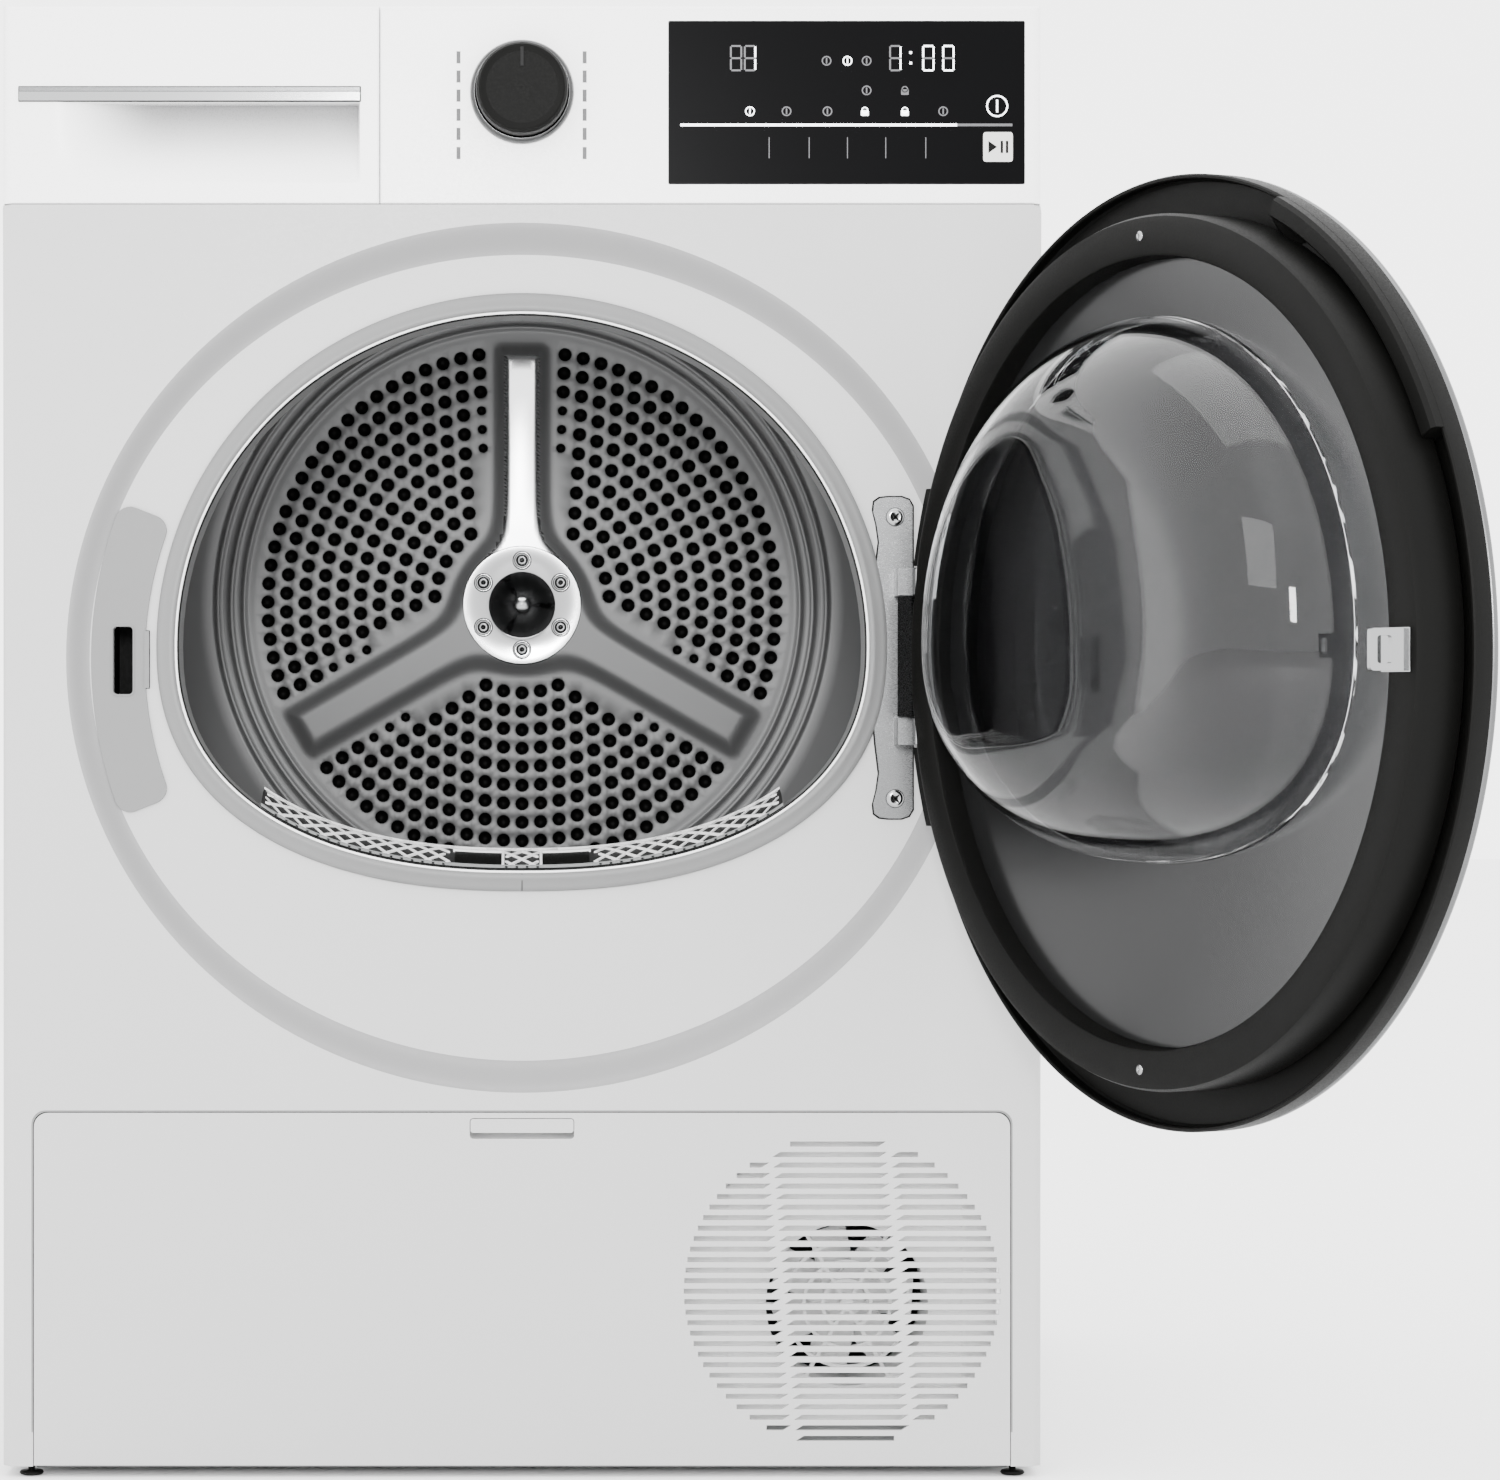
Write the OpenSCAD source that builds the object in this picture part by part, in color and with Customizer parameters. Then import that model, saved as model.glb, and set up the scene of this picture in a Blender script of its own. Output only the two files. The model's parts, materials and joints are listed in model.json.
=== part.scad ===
// Free-standing condenser tumble dryer with a round front door, shown with the door open.
// Millimetres, +Z up, -Y is the front. The origin is on the floor, midway between the feet.

/* [Cabinet] */
// Width of the cabinet
cab_w = 597; // [594:1:600]
// Height of the cabinet above the floor
cab_h = 846; // [844:1:848]
// Distance from the origin forward to the front panel
front_d = 284; // [283:1:285]
// Distance from the origin back to the rear panel
rear_d = 277; // [277:1:279]
// Thickness of the sheet metal
sheet = 1; // [0.8:0.1:1.2]

/* [Door] */
// Radius of the door
door_r = 249; // [248:1:250]
// Height of the door's centre above the floor
door_z = 471; // [470:1:472]
// Opening angle of the door at rest
door_open = 116.3; // [0:0.1:160]

/* [Loading mouth] */
// Half width of the loading mouth
mouth_w = 199; // [198:1:200]
// Top of the loading mouth
mouth_top = 669.5; // [668:0.5:671]
// Bottom of the loading mouth
mouth_bottom = 348; // [347:1:350]

/* [Drum] */
// Outer radius of the drum
drum_r = 287; // [285:1:287]
// Height of the drum's axis above the floor
drum_z = 513; // [512:1:514]
// Radius of the motor pulley that drives the belt
pulley_r = 10; // [8:0.5:11]

/* [Water tank drawer] */
// Right edge of the drawer front
drawer_x = -82; // [-84:1:-80]

/* [Hidden] */
$fn = 64;

fy = -front_d;              // outer face of the front panel
ry = rear_d;                // outer face of the rear panel
hw = cab_w / 2;             // half width of the cabinet
base_z = 6.3;               // lower edge of the cabinet panels
strip_z = 732;              // seam under the control strip
top_z = 831;                // underside of the worktop
tray_w = 280.5;             // half width of the base tray
recess = 5;                 // depth of the dish that the door sits in
dish_y = fy + recess;       // outer face of the dish
gap = 0.5;                  // fitting gap between covers

// Kick plate
kick_w = 281;               // half width of its opening
kick_top = 210;             // top of its opening
kick_r = 8;                 // corner radius
kick_y = fy + 6.5;          // axis of the pins it tips about
kick_z = 10;
grille_x = 184;             // centre of the air grille
grille_z = 107;
grille_r = 91;
slot_pitch = 6.04;
slot_h = 2.8;

// Hinge
hinge_x = door_r - 19.5;    // hinge axis, the rounded edge of the door rolls around it
hinge_y = fy - 20;
hinge_edge_r = 19.5;
door_t = 40;                // thickness of the closed door in front of the panel
arm_z = [429, 514];         // heights of the two hinge arms
arm_h = 16;
pin_r = 4;

// Door section, depths measured inwards from its outer face
door_y = fy - door_t;       // outer face of the closed door
rim_t = 15;                 // depth of the outer rim
inner_x = -11;              // the inner frame sits a little towards the handle side
inner_r = 226;
inner_hole_r = 204;
flange_d = 25;              // depth of the bright flange
bowl_depth = 62;
bowl_w = 176;
bowl_top = 646;
bowl_bottom = 362;
glass_r = 243;

// Drum
drum_front = -212;
drum_rear = 232;
drum_sheet = 1.5;
back_y = 236;               // front face of the perforated back
shaft_r = 8;
belt_y = [96, 110];         // front and rear edges of the belt
belt_t = 2.4;
belt_gap = 0.4;

// Motor and belt
motor_x = 150;
motor_z = 100;
tension_r = 14;
tension_at = 0.75;          // place of the tension pulley along the slack run
tension_pivot = [122, 124];
spring_post = [151, 172];    // upper end of the tension spring

// Rollers under the front edge of the drum
roller_r = 20;
roller_angle = 38;

// Feet
foot_x = 256;
foot_y = 235;
foot_r = 13.8;
stem_r = 5;

// ---------- helpers ----------
function sgn_pow(v, e) = sign(v) * pow(abs(v), e);
// Rounded D outline: an upper half ellipse and a fuller, flatter lower half
function d_outline(w, top, bottom, mid = 478, count = 96, full = 2.33) =
    [for (i = [0:count - 1]) let (a = 360 * i / count)
        a <= 180 ? [w * cos(a), mid + (top - mid) * sin(a)]
                 : [w * sgn_pow(cos(a), 2 / full), mid - (mid - bottom) * pow(-sin(a), 2 / full)]];
function ellipse_outline(rx, rz, z, count = 96) =
    [for (i = [0:count - 1]) [rx * cos(360 * i / count), z + rz * sin(360 * i / count)]];

// Draws a flat X-Z outline between two depths
module slab(y0, y1) translate([0, y1, 0]) rotate([90, 0, 0]) linear_extrude(y1 - y0) children();
module block(a, b) translate(a) cube([b[0] - a[0], b[1] - a[1], b[2] - a[2]]);
module rod_y(x, z, y0, y1, r) translate([x, y1, z]) rotate([90, 0, 0]) cylinder(r = r, h = y1 - y0);
module rod_x(y, z, x0, x1, r) translate([x0, y, z]) rotate([0, 90, 0]) cylinder(r = r, h = x1 - x0);
module rod_z(x, y, z0, z1, r) translate([x, y, z0]) cylinder(r = r, h = z1 - z0);
module ring_y(x, z, y0, y1, outer, inner) difference() {
    rod_y(x, z, y0, y1, outer);
    rod_y(x, z, y0 - 1, y1 + 1, inner);
}
// Revolves an outline of [radius, y] points about an axis along Y
module turned(x, z) translate([x, 0, z]) rotate([-90, 0, 0]) rotate_extrude($fn = 128) children();
module mouth(grow) polygon(d_outline(mouth_w + grow, mouth_top + grow, mouth_bottom - grow));
module swung(angle = door_open) translate([hinge_x, hinge_y, 0]) rotate([0, 0, angle])
    translate([-hinge_x, -hinge_y, 0]) children();
module rounded_rect(x0, z0, x1, z1, r) {
    translate([x0 + r, z0]) square([x1 - x0 - 2 * r, z1 - z0]);
    translate([x0, z0 + r]) square([x1 - x0, z1 - z0 - 2 * r]);
    for (x = [x0 + r, x1 - r], z = [z0 + r, z1 - r]) translate([x, z]) circle(r);
}

// ---------- cabinet ----------
module base_tray() color("#55585b") difference() {
    union() {
        block([-tray_w, -268, 3], [tray_w, 268, 8]);
        difference() {
            block([-tray_w, -268, 8], [tray_w, 268, 28]);
            block([-tray_w + 4, -264, 7], [tray_w - 4, 264, 29]);
        }
        block([-16, -264, 8], [-12, 264, 60]);
        for (x = [-foot_x, foot_x], y = [-foot_y, foot_y]) rod_z(x, y, 8, 30, 9);
        for (x = [-279.9, 275.6]) {
            rod_x(kick_y, kick_z, x, x + 4.3, 3.6);
            block([x, kick_y, kick_z - 3], [x + 4.3, -266, kick_z + 3]);
        }
    }
    for (x = [-281, 275]) rod_x(kick_y, kick_z, x, x + 6, 2.06);
    for (x = [-foot_x, foot_x], y = [-foot_y, foot_y]) {
        rod_z(x, y, 2, 6.3, foot_r + 4);
        rod_z(x, y, 2, 31, stem_r + 0.06);
    }
}

module foot(x, y) color("#b9bab8") {
    rod_z(x, y, 0, 6, foot_r);
    rod_z(x, y, 6, 28, stem_r);
}
module front_left_foot() foot(-foot_x, -foot_y);
module front_right_foot() foot(foot_x, -foot_y);
module rear_left_foot() foot(-foot_x, foot_y);
module rear_right_foot() foot(foot_x, foot_y);

// Side sheet with folded top, bottom and rear edges
module side_panel() color("#e9e9e8") difference() {
    block([hw - 16, fy + 22 + gap, base_z], [hw, ry - sheet, top_z]);
    block([hw - 17, fy + 21, base_z + sheet], [hw - sheet, ry - 2 * sheet, top_z - sheet]);
}
module left_side_panel() mirror([1, 0, 0]) side_panel();
module right_side_panel() side_panel();

// Pressed front with the round dish, the mouth hole and the cut-out for the kick plate
module front_panel() color("#e6e6e5") {
    slab(fy, fy + sheet) difference() {
        translate([-hw, base_z]) square([cab_w, strip_z - gap - base_z]);
        polygon(ellipse_outline(254, 241, door_z));
        kick_opening(0);
    }
    slab(fy, dish_y + sheet) difference() {
        polygon(ellipse_outline(254, 241, door_z));
        polygon(ellipse_outline(253, 240, door_z));
    }
    slab(dish_y, dish_y + sheet) difference() {
        polygon(ellipse_outline(253.5, 240.5, door_z));
        mouth(12);
        translate([-237, 449]) square([14, 41]);
        button_slot(0.4);
    }
    for (x = [-hw, hw - sheet]) block([x, fy, base_z], [x + sheet, fy + 22, strip_z - gap]);
    for (x = [-hw, kick_w]) block([x, fy, base_z], [x + hw - kick_w, fy + 22, base_z + sheet]);
    block([-hw, fy, strip_z - gap - sheet], [hw, fy + 20, strip_z - gap]);
}
// Slot for the button that the closed door presses
module button_slot(grow) translate([-217.2 - grow, 453.6 - grow]) square([2.6 + 2 * grow, 32.8 + 2 * grow]);
// Opening with rounded top corners that runs out at the bottom
module kick_opening(shrink) {
    w = kick_w - shrink;
    rounded_rect(-w, 100, w, kick_top - shrink, kick_r);
    translate([-w, base_z - 1 + shrink]) square([2 * w, 120]);
}

module rear_panel() color("#c9cbcc") difference() {
    slab(ry - sheet, ry) difference() {
        translate([-hw, base_z]) square([cab_w, top_z - base_z]);
        translate([0, drum_z]) circle(262, $fn = 128);
        translate([motor_x - 66, 20]) square([132, 200]);
    }
    rod_y(-230, 60, ry - 5, ry + 5, 10.2);
    rod_y(-230, 120, ry - 5, ry + 5, 11.3);
}
// Bulging cover that leads the air up behind the drum
module duct_outline(grow) {
    translate([0, drum_z]) circle(266 + grow, $fn = 128);
    translate([motor_x - 74 - grow, 14 - grow]) square([148 + 2 * grow, 380]);
}
module rear_duct_cover() color("#c4c6c7") {
    difference() {
        slab(ry, ry + 15) duct_outline(0);
        slab(ry - 1, ry + 14) duct_outline(-sheet);
    }
    slab(ry, ry + sheet) difference() {
        duct_outline(8);
        duct_outline(-0.5);
    }
}
// Moulded outlet for the mains lead
module power_gland() color("#2b2c2d") difference() {
    union() {
        rod_y(-230, 120, ry - 8, ry, 11.2);
        rod_y(-230, 120, ry, ry + 6, 15);
    }
    rod_y(-230, 120, ry - 9, ry + 7, 4.5);
}
module worktop() color("#ececeb") {
    difference() {
        block([-hw, fy + 22 + gap, top_z], [hw, ry, cab_h]);
        block([-hw + 2.5, fy + 21, top_z - 1], [hw - 2.5, ry - 2.5, cab_h - 3]);
    }
    for (y = [fy + 30, ry - 50]) block([-hw + 3, y, cab_h - 12], [hw - 3, y + 36, cab_h - 3]);
}

// ---------- control strip ----------
module control_panel() color("#efefee") difference() {
    block([drawer_x + gap, fy, strip_z], [hw, fy + 22, cab_h]);
    block([drawer_x + 3, fy + 3, strip_z + 3], [hw - 3, fy + 23, cab_h - 3]);
    slab(fy - 1, fy + 1.6) rounded_rect(83.7, 742.7, 289.3, 837.3, 1);
    rod_y(0, 796, fy - 1, fy + 5, 5.06);
}
module display_glass() color("#17171a") slab(fy - 0.1, fy + 1.5) rounded_rect(84, 743, 289, 837, 1);
module programme_knob() color("#1b1c1d") difference() {
    union() {
        turned(0, 796) polygon([[0, fy - 22], [24, fy - 22], [26.4, fy - 19], [26.4, fy - 2.2], [0, fy - 2.2]]);
        rod_y(0, 796, fy - 3, fy + 12, 5);
    }
    block([-0.8, fy - 23, 804], [0.8, fy - 21, 823]);
}
module knob_ring() color("#b4b5b7") turned(0, 796)
    polygon([[5.3, fy - 2.2], [26.4, fy - 2.2], [26.8, fy - 7], [28.6, fy - 6.5], [29.9, fy - 2],
             [29.9, fy - 0.3], [5.3, fy - 0.3]]);

// ---------- water tank drawer ----------
// Front plate with a grip recess below a bright strip
module drawer_front() color("#efefee") difference() {
    block([-hw, fy, strip_z], [drawer_x, fy + 22, cab_h]);
    block([-hw + 3, fy + 16, strip_z + 3], [drawer_x - 3, fy + 23, cab_h - 3]);
    block([-268, fy - 1, 745], [-93, fy + 13.5, 791]);
    block([-289, fy - 1, 791], [-93, fy + 3, 799]);
}
module drawer_handle_strip() color("#a9abad") block([-289, fy - 1.2, 791], [-93, fy + 3, 799]);
module tank_outline(shrink) difference() {
    translate([-290 + shrink, 748 + shrink]) square([194 - 2 * shrink, 78 - 2 * shrink]);
    translate([0, drum_z]) circle(drum_r + 10 + shrink, $fn = 128);
}
module water_tank() color("#d7dadb") difference() {
    slab(fy + 22, 190) tank_outline(0);
    slab(fy + 25, 187) tank_outline(2.5);
    rod_z(-200, 150, 820, 828, 14);
}

// ---------- loading mouth ----------
filter_w = 152;             // half width of the lint filter
filter_y = [-270, -232];
module filter_slot(grow) block([-filter_w - grow, filter_y[0] - grow, 250 - grow],
                               [filter_w + grow, filter_y[1] + grow, 400]);
roller_dist = drum_r + roller_r + 0.3;
function roller_pos(side) = [side * roller_dist * sin(roller_angle), drum_z - roller_dist * cos(roller_angle)];

// Carrier of the mouth, the felt seal, the lint filter and the front rollers
module front_bulkhead() color("#dededd") {
    difference() {
        union() {
            slab(dish_y + 2, -224) difference() {
                mouth(4);
                mouth(0.6);
            }
            slab(-228, -224) difference() {
                rounded_rect(-288, 238, 288, 728, 60);
                mouth(3);
            }
            block([-filter_w - 4, filter_y[0] - 4, 246], [filter_w + 4, filter_y[1] + 4, 398]);
            block([-292, -228, 690], [-190, -224, 745]);
            block([-292, -228, 742], [-190, 180, 745]);
        }
        filter_slot(0.8);
        slab(dish_y - 10, -200) mouth(0.6);
    }
    ring_y(0, drum_z, -224, -213, 258, 254);
    for (s = [-1, 1]) rod_y(roller_pos(s)[0], roller_pos(s)[1], -224, -176, 5);
}
module mouth_seal() color("#c9cac9") slab(dish_y - 4, dish_y + 2) difference() {
    mouth(11.5);
    mouth(0);
}
// Filter box that hangs in its pocket, with a top that follows the mouth's lower edge
module lint_filter() color("#d9dad8") difference() {
    slab(filter_y[0], filter_y[1]) difference() {
        translate([-filter_w, 252]) square([2 * filter_w, 150]);
        mouth(-1.5);
    }
    slab(filter_y[0] + 2, filter_y[1] - 2) difference() {
        translate([-filter_w + 2, 254]) square([2 * filter_w - 4, 150]);
        mouth(1.5);
    }
    for (x = [-39, 11]) block([x, filter_y[0] + 5, 340], [x + 28, filter_y[1] - 14, 356]);
}
module drum_felt_seals() color("#8b8d8c") {
    ring_y(0, drum_z, -222, -212.4, 264, 258.2);
    ring_y(0, drum_z, 226, ry - sheet, 282.3, 270);
}

// ---------- drum ----------
module drum_shell() color("#b9bbbd") turned(0, drum_z) polygon(concat(
    [[264.5, drum_front], [drum_r, drum_front], [drum_r, drum_rear]],
    [[drum_r - drum_sheet, drum_rear], [drum_r - drum_sheet, 60], [drum_r - 4, 52], [drum_r - 4, 44],
     [drum_r - drum_sheet, 36], [drum_r - drum_sheet, -66], [drum_r - 4, -74], [drum_r - 4, -82],
     [drum_r - drum_sheet, -90], [drum_r - drum_sheet, drum_front + drum_sheet],
     [264.5, drum_front + drum_sheet]]));

ring_first = 61.3;          // innermost ring of holes in each sector between two arms
ring_pitch = 12.95;
hole_pitch = 13;
// Perforated back with a conical rim; the holes lie on rings, centred in the three sectors
module drum_back() color("#a6a8aa") {
    difference() {
        rod_y(0, drum_z, back_y, back_y + 1.5, 205);
        for (ring = [0:9]) let (r = ring_first + ring_pitch * ring, last = ring < 4 ? ring + 2 : ring + 3)
            for (sector = [30, 150, 270], j = [-last:last])
                let (a = sector + j * hole_pitch / r * 180 / PI)
                    rod_y(r * cos(a), drum_z + r * sin(a), back_y - 1, back_y + 3,
                          ring > 3 && ring < 7 && abs(j) == ring + 3 ? 2.9 : 4.2, $fn = 16);
        rod_y(0, drum_z, back_y - 1, back_y + 3, 12);
    }
    turned(0, drum_z) polygon([[205, back_y], [213, back_y - 6], [222, back_y - 6], [drum_r - 4, 197],
        [drum_r - 1.7, 197], [drum_r - 1.7, drum_rear], [drum_r - 3.2, drum_rear], [drum_r - 3.2, 199.5],
        [223, back_y - 4], [213.6, back_y - 4], [205, back_y + 1.5]]);
}
module drum_hub() color("#c8cacc") turned(0, drum_z) polygon([[0, back_y - 14], [7, back_y - 13],
    [9.2, back_y - 9], [9.2, back_y - 4], [22, back_y - 4], [24, back_y - 2.5], [41, back_y - 2.5],
    [41, back_y], [11.9, back_y], [11.9, back_y + 8], [26, back_y + 8], [26, back_y + 14],
    [shaft_r, back_y + 16], [shaft_r, ry + 6], [0, ry + 6]]);
module hub_bolts() color("#d0d1d3") for (a = [30:60:330])
    rod_y(31.7 * cos(a), drum_z + 31.7 * sin(a), back_y - 6.5, back_y - 2.5, 4.6);
// Three triangular ribs that lift the laundry
module drum_lifters() color("#c2c4c6") for (a = [30, 150, 270]) translate([0, 0, drum_z])
    rotate([0, a, 0]) translate([0, 0, -drum_r + 6]) hull() {
        block([-32, -150, 0], [32, 150, 2]);
        block([-7, -120, 44], [7, 120, 46]);
    }
// Spider that carries the bearing of the drum's shaft
module rear_bearing_bracket() color("#7c7f82") difference() {
    union() {
        rod_y(0, drum_z, 256, ry + 4, 20);
        for (a = arm_angles) translate([0, 0, drum_z]) rotate([0, -a, 0])
            block([10, ry - 9, -11], [268, ry - sheet, 11]);
    }
    rod_y(0, drum_z, 250, ry + 10, shaft_r + 0.06);
}
module roller(side) color("#3b3c3e") ring_y(roller_pos(side)[0], roller_pos(side)[1], -209, -180, roller_r, 5.06);
module left_roller() roller(-1);
module right_roller() roller(1);

// ---------- drive ----------
// Tangent of the belt on its slack, left-hand side
belt_r = drum_r + belt_gap + belt_t / 2;
motor_dist = norm([motor_x, motor_z - drum_z]);
run_angle = atan2(motor_z - drum_z, motor_x) - acos((belt_r - pulley_r - belt_gap - belt_t / 2) / motor_dist);
run_out = [cos(run_angle), sin(run_angle)];
run_dir = [-run_out[1], run_out[0]];
run_start = [belt_r * run_out[0], drum_z + belt_r * run_out[1]];
run_len = (motor_x - run_start[0]) * run_dir[0] + (motor_z - run_start[1]) * run_dir[1];
tension_c = [for (i = [0, 1]) run_start[i] + tension_at * run_len * run_dir[i]
             - (tension_r + belt_gap + belt_t / 2) * run_out[i]];

module belt_outline(grow) hull() {
    translate([0, drum_z]) circle(drum_r + belt_gap + grow, $fn = 120);
    translate([motor_x, motor_z]) circle(pulley_r + belt_gap + grow, $fn = 48);
}
module drive_belt() color("#222324") slab(belt_y[0], belt_y[1]) difference() {
    belt_outline(belt_t);
    belt_outline(0);
}
module motor() color("#6d7074") difference() {
    union() {
        rod_y(motor_x, motor_z, 122, 200, 46);
        rod_y(motor_x, motor_z, 116, 206, 22);
        block([motor_x - 40, 124, 24], [motor_x + 40, 198, 62]);
        block([motor_x - 52, 118, 18], [motor_x + 52, 204, 26]);
        for (x = [-48, 42]) block([motor_x + x, 118, 8], [motor_x + x + 6, 204, 18]);
        block([tension_pivot[0] - 12, 117, motor_z], [motor_x + 10, 123, tension_pivot[1] + 12]);
        block([spring_post[0] - 7, 117, motor_z], [spring_post[0] + 7, 121, spring_post[1] + 6]);
        rod_y(spring_post[0], spring_post[1], 74, 118, 2.5);
        rod_y(tension_pivot[0], tension_pivot[1], 84, 118, 5);
    }
    rod_y(motor_x, motor_z, 100, 220, 6.06);
}
module motor_pulley() color("#9a9da0") {
    rod_y(motor_x, motor_z, 92, 252, 6);
    rod_y(motor_x, motor_z, belt_y[0] - 1, belt_y[1] + 1, pulley_r);
    for (y = [belt_y[0] - 3, belt_y[1] + 1]) rod_y(motor_x, motor_z, y, y + 2, pulley_r + 2.2);
}
arm_dir = atan2(tension_c[1] - tension_pivot[1], tension_c[0] - tension_pivot[0]);
arm_len = norm(tension_c - tension_pivot);
module tension_arm() color("#8d9093") {
    difference() {
        slab(86, 91) translate(tension_pivot) rotate(arm_dir) {
            translate([0, -6]) square([arm_len, 12]);
            circle(9);
            translate([arm_len, 0]) circle(8);
            rotate(180) translate([0, -4]) square([22, 8]);
        }
        rod_y(tension_pivot[0], tension_pivot[1], 80, 100, 5.06);
    }
    rod_y(tension_c[0], tension_c[1], 90, belt_y[1] + 3, 4);
    rod_y(spring_foot[0], spring_foot[1], 74, 87, 2);
}
module tension_pulley() color("#2c2d2f")
    ring_y(tension_c[0], tension_c[1], belt_y[0] - 2, belt_y[1] + 1, tension_r, 4.06);
// Coil spring, as rings, between the arm's tail and a post on the motor
spring_foot = tension_pivot - 18 * [cos(arm_dir), sin(arm_dir)];
spring_run = spring_post - spring_foot;
module tension_spring() color("#b0b2b4") translate([spring_foot[0], 79, spring_foot[1]])
    rotate([0, atan2(spring_run[0], spring_run[1]), 0]) for (i = [0:11])
        translate([0, 0, 4 + i * (norm(spring_run) - 8) / 11])
            rotate_extrude($fn = 24) translate([5, 0]) circle(1);
module process_fan() color("#d2d4d3") {
    difference() {
        rod_y(motor_x, motor_z, 226, 230, 50);
        rod_y(motor_x, motor_z, 220, 240, 6.06);
    }
    difference() {
        rod_y(motor_x, motor_z, 226, 244, 14);
        rod_y(motor_x, motor_z, 220, 250, 6.06);
    }
    for (i = [0:23]) translate([motor_x, 0, motor_z]) rotate([0, 15 * i, 0])
        block([36, 230, -1], [50, 258, 1]);
    ring_y(motor_x, motor_z, 256, 259, 50, 36);
}
module fan_housing() color("#5b5e61") difference() {
    slab(214, ry - sheet) {
        translate([motor_x, motor_z]) circle(62);
        translate([motor_x - 62, motor_z]) square([124, 96]);
    }
    slab(218, ry) {
        translate([motor_x, motor_z]) circle(58);
        translate([motor_x - 58, motor_z]) square([116, 92]);
    }
    rod_y(motor_x, motor_z, 210, 220, 34);
}

// ---------- heat pump ----------
module compressor() color("#2a2b2d") {
    rod_z(140, -60, 30, 150, 56);
    for (x = [84, 196], y = [-104, -16]) rod_z(x, y, 8, 30, 9);
    translate([140, -60, 150]) scale(1) intersection() {
        sphere(56);
        block([-60, -60, 0], [60, 60, 20]);
    }
    block([76, -112, 30], [204, -8, 34]);
    rod_z(232, -60, 34, 130, 16);
    block([194, -66, 60], [220, -54, 68]);
}
module finned_coil(y0, y1, fins) {
    for (i = [0:fins - 1]) let (x = -262 + i * 232 / (fins - 1))
        block([x - 0.6, y0, 26], [x + 0.6, y1, 178]);
    for (z = [44, 84, 124, 160], y = [y0 + 20, y1 - 20]) translate([-268, y, z]) rotate([0, 90, 0])
        cylinder(r = 5, h = 244);
    for (x = [-266, -28]) block([x, y0, 8], [x + 3, y1, 180]);
}
module evaporator() color("#b7babc") finned_coil(-205, -105, 30);
module condenser() color("#b3b6b8") finned_coil(-90, 70, 30);
module bent_pipe(points, r) for (i = [0:len(points) - 2]) let (d = points[i + 1] - points[i]) {
    translate(points[i]) rotate([0, acos(d[2] / norm(d)), atan2(d[1], d[0])]) cylinder(r = r, h = norm(d), $fn = 16);
    translate(points[i]) sphere(r, $fn = 16);
    translate(points[i + 1]) sphere(r, $fn = 16);
}
module refrigerant_pipes() color("#b06f45") {
    bent_pipe([[-19.9, -60, 160], [-4, -60, 160], [-4, -60, 190], [140, -60, 190], [140, -60, 174.1]], 4);
    bent_pipe([[-18.9, -150, 160], [-4, -150, 160], [-4, -150, 200], [232, -150, 200], [232, -60, 200],
               [232, -60, 135.1]], 5);
}
module condensate_pump() color("#7f8284") {
    block([-262, 150, 8], [-200, 212, 44]);
    rod_z(-231, 181, 44, 84, 22);
    rod_y(-230, 60, 181, ry + 14, 8);
    rod_y(-230, 60, 200, 270, 10);
}
module cooling_fan() color("#cfd0cf") {
    ring_y(188, 97, -240, -222, 12, 3.02);
    for (i = [0:6]) translate([188, -231, 97]) rotate([0, 360 * i / 7, 0]) translate([10, 0, 0])
        rotate([28, 0, 0]) block([0, -1, -12], [31, 1, 12]);
}
// Cover of the heat-exchanger compartment with the round guarded air inlet
module exchanger_cover() color("#c6c7c6") {
    slab(-268, -265) {
        difference() {
            rounded_rect(-276, 30, 276, 198, 12);
            translate([188, 97]) circle(47);
        }
        translate([188, 97]) {
            for (r = [14, 25, 36]) difference() {
                circle(r + 1);
                circle(r - 1);
            }
            for (i = [0:5]) rotate(60 * i) translate([0, -1]) square([48, 2]);
            circle(4);
        }
    }
    rod_y(188, 97, -266, -221, 2.95);
    ring_y(188, 97, -266, -216, 50, 47.5);
    slab(-269.5, -267) difference() {
        rounded_rect(119, 47, 257, 174, 12);
        rounded_rect(121.5, 49.5, 254.5, 171.5, 9.5);
    }
}

// ---------- lock and hinge on the cabinet ----------
function arc_pts(r, a0, a1, n = 20) = [for (i = [0:n]) let (a = a0 + (a1 - a0) * i / n) [r * cos(a), 470 + r * sin(a)]];
module arc_band(outer, inner, half) polygon(concat(arc_pts(outer, 180 - half, 180 + half),
                                                   arc_pts(inner, 180 + half, 180 - half)));
module latch_cover() color("#c9caca") slab(dish_y - 1.6, dish_y) difference() {
    offset(r = 8) offset(delta = -8) arc_band(248, 217, 21.5);
    translate([-235.4, 450]) square([11.4, 39]);
    button_slot(0.4);
}
module door_lock() color("#2f3032") difference() {
    block([-243, -277.5, 440], [-212, -232, 500]);
    block([-236, -279, 449], [-223, -234, 490]);
    slab(-279, -252) button_slot(0.5);
}
module switch_button() color("#b9bab9") slab(-281.6, -257) button_slot(0);

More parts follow.
